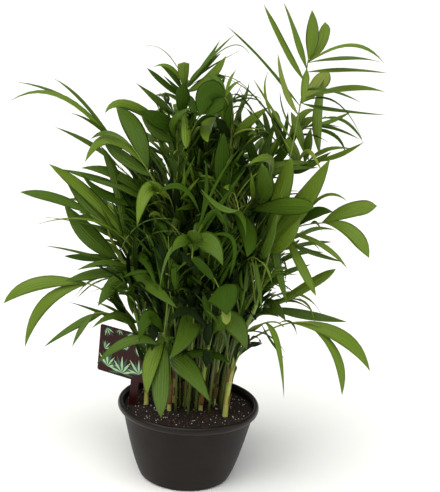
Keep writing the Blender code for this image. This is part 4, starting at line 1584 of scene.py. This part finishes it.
def sprig_leaf(x, z, degrees, length, half):
    """The outline of one drawn leaf, anticlockwise."""
    turn = math.radians(degrees)
    ahead, side = (math.cos(turn), math.sin(turn)), (-math.sin(turn), math.cos(turn))
    outline = []
    for way, steps in ((-1, range(0, 7)), (1, range(6, 0, -1))):
        for step in steps:
            share = step / 6
            wide = way * half * math.sin(math.pi * share ** 0.8)
            outline.append((x + ahead[0] * length * share + side[0] * wide, z + ahead[1] * length * share + side[1] * wide))
    return outline


class PALM_OT_tag(bpy.types.Operator):
    """Make the plant tag: a dark card with plain leaf sprigs, on a flat stake"""

    bl_idname = "palm.tag"
    bl_label = "Make tag"

    def execute(self, context):
        left, foot, across_card, up, out = tag_frame()
        if out.y > 0:
            out = -out
        width, height = TAG_SIZE
        corner = left - up * height
        tag = Shape()
        outward = out
        flat_solid(tag, rounded(width, height, TAG_CORNER), TAG_SKIN, corner, across_card, up, outward, 0, -TAG_SKIN / 2)
        rise = (corner - foot).dot(up)
        stake_at = (foot - corner).dot(across_card)
        half = TAG_STAKE[0] / 2
        stake = [(stake_at - half, -rise - 6 * MM), (stake_at + half, -rise - 6 * MM),
                 (stake_at + half, 1 * MM), (stake_at - half, 1 * MM)]
        flat_solid(tag, stake, TAG_SKIN * 0.9, corner, across_card, up, outward, 0, -TAG_SKIN * 0.45)
        chance = random.Random("tag")
        for x, z, lean, length, leaves in SPRIGS:
            for index in range(leaves):
                fan = lean + (index - (leaves - 1) / 2) * SPRIG_FAN
                slot = 1 + (index + leaves) % 2
                reach = length * chance.uniform(0.75, 1.05) * (1.0 - 0.05 * abs(index - leaves / 2))
                outline = sprig_leaf(x, z, fan, reach, 0.075 * reach)
                inside = [(min(max(px, 2 * MM), width - 2 * MM), min(max(pz, 2 * MM), height - 2 * MM)) for px, pz in outline]
                lift = TAG_SKIN / 2 + (0.02 + 0.012 * index) * MM
                flat_solid(tag, inside, 0.1 * MM, corner, across_card, up, outward, slot, lift)
        skins = [
            material("tag", card_finish, "varnished_card", colours().tag),
            material("tag_leaf", card_finish, "pale_leaf_ink", colours().tag_leaf),
            material("tag_shade", card_finish, "teal_leaf_ink", colours().tag_shade),
        ]
        piece = tag.piece("plant_label", skins, "plant_tag", "plant_tag")
        piece.data.shade_flat()
        return {"FINISHED"}


# Stage

def aim(obj, place, forward, roll=0.0):
    """Puts a camera or light at a place, looking along a direction, rolled about it."""
    right, above = view_axes(forward, roll)
    turn = Matrix((right, above, -forward.normalized())).transposed()
    obj.matrix_world = Matrix.Translation(place) @ turn.to_4x4()


def soft_light(name, place, target, size, power, colour):
    light = bpy.data.lights.new(name, "AREA")
    light.shape = "DISK"
    light.size = size
    light.energy = power
    light.color = colour
    lamp = bpy.data.objects.new(name, light)
    bpy.context.scene.collection.objects.link(lamp)
    aim(lamp, Vector(place), Vector(target) - Vector(place))


SWEEP_LEVELS = ((0.0, 0.95), (0.13, 0.70), (0.25, 0.20), (1.0, 0.14))


class PALM_OT_stage(bpy.types.Operator):
    """Set the pale floor, the soft studio lights and the camera"""

    bl_idname = "palm.stage"
    bl_label = "Set stage"

    def execute(self, context):
        scene = bpy.context.scene
        bpy.ops.mesh.primitive_plane_add(size=400, location=(0, 0, 0))
        floor = bpy.context.object
        floor.name = "studio_floor"
        skin, _, _ = finish("studio_paper", colours().floor, Roughness=0.9)
        floor.data.materials.append(skin)
        sun = bpy.data.lights.new("high_window", "SUN")
        sun.energy = 3.45
        sun.color = (1.0, 0.98, 0.92)
        sun.angle = math.radians(75)
        lamp = bpy.data.objects.new("high_window", sun)
        scene.collection.objects.link(lamp)
        aim(lamp, Vector((0, 0, 3)), Vector((0.22, 0.34, -1.0)))
        soft_light("left_softbox", (-1.5, -1.6, 1.5), (0, 0, 0.40), 1.2, 9, (1.0, 0.985, 0.96))
        soft_light("right_softbox", (2.0, -0.9, 1.2), (0, 0, 0.30), 1.2, 10, (0.98, 0.99, 1.0))
        world = bpy.data.worlds.new("studio_air")
        world.use_nodes = True
        air = world.node_tree
        where = node(air, "ShaderNodeTexCoord").outputs["Generated"]
        height = node(air, "ShaderNodeSeparateXYZ", Vector=where).outputs["Z"]
        sweep = ramp(air, height, [(place, (level,) * 3) for place, level in SWEEP_LEVELS])
        air.links.new(sweep.outputs["Color"], air.nodes["Background"].inputs["Color"])
        scene.world = world
        scene.view_settings.view_transform = "Standard"
        data = bpy.data.cameras.new("studio_camera")
        data.lens = CAMERA_LENS
        data.sensor_width = CAMERA_SENSOR
        camera = bpy.data.objects.new("studio_camera", data)
        scene.collection.objects.link(camera)
        aim(camera, CAMERA_PLACE, CAMERA_AHEAD, CAMERA_ROLL)
        scene.camera = camera
        return {"FINISHED"}


OPERATORS = (
    PALM_OT_stage, PALM_OT_pot, PALM_OT_soil, PALM_OT_tag, PALM_OT_canes, PALM_OT_fronds, PALM_OT_young,
)


class PALM_PT_panel(bpy.types.Panel):
    """Lists the steps that make the palm, with its sizes and colours"""

    bl_idname = "PALM_PT_panel"
    bl_label = "Potted bamboo palm"
    bl_space_type = "VIEW_3D"
    bl_region_type = "UI"
    bl_category = "Palm"

    def draw(self, context):
        for operator in OPERATORS:
            self.layout.operator(operator.bl_idname)
        for group in (context.scene.palm_sizes, context.scene.palm_colours):
            for name in group.__annotations__:
                self.layout.prop(group, name)


CLASSES = (PALM_PG_sizes, PALM_PG_colours, *OPERATORS, PALM_PT_panel)


def register():
    for entry in CLASSES:
        bpy.utils.register_class(entry)
    bpy.types.Scene.palm_sizes = bpy.props.PointerProperty(type=PALM_PG_sizes)
    bpy.types.Scene.palm_colours = bpy.props.PointerProperty(type=PALM_PG_colours)


def unregister():
    del bpy.types.Scene.palm_colours
    del bpy.types.Scene.palm_sizes
    for entry in reversed(CLASSES):
        bpy.utils.unregister_class(entry)


def main():
    register()
    for operator in OPERATORS:
        group, name = operator.bl_idname.split(".")
        getattr(getattr(bpy.ops, group), name)()
    bpy.context.view_layer.update()


if __name__ == "__main__":
    main()
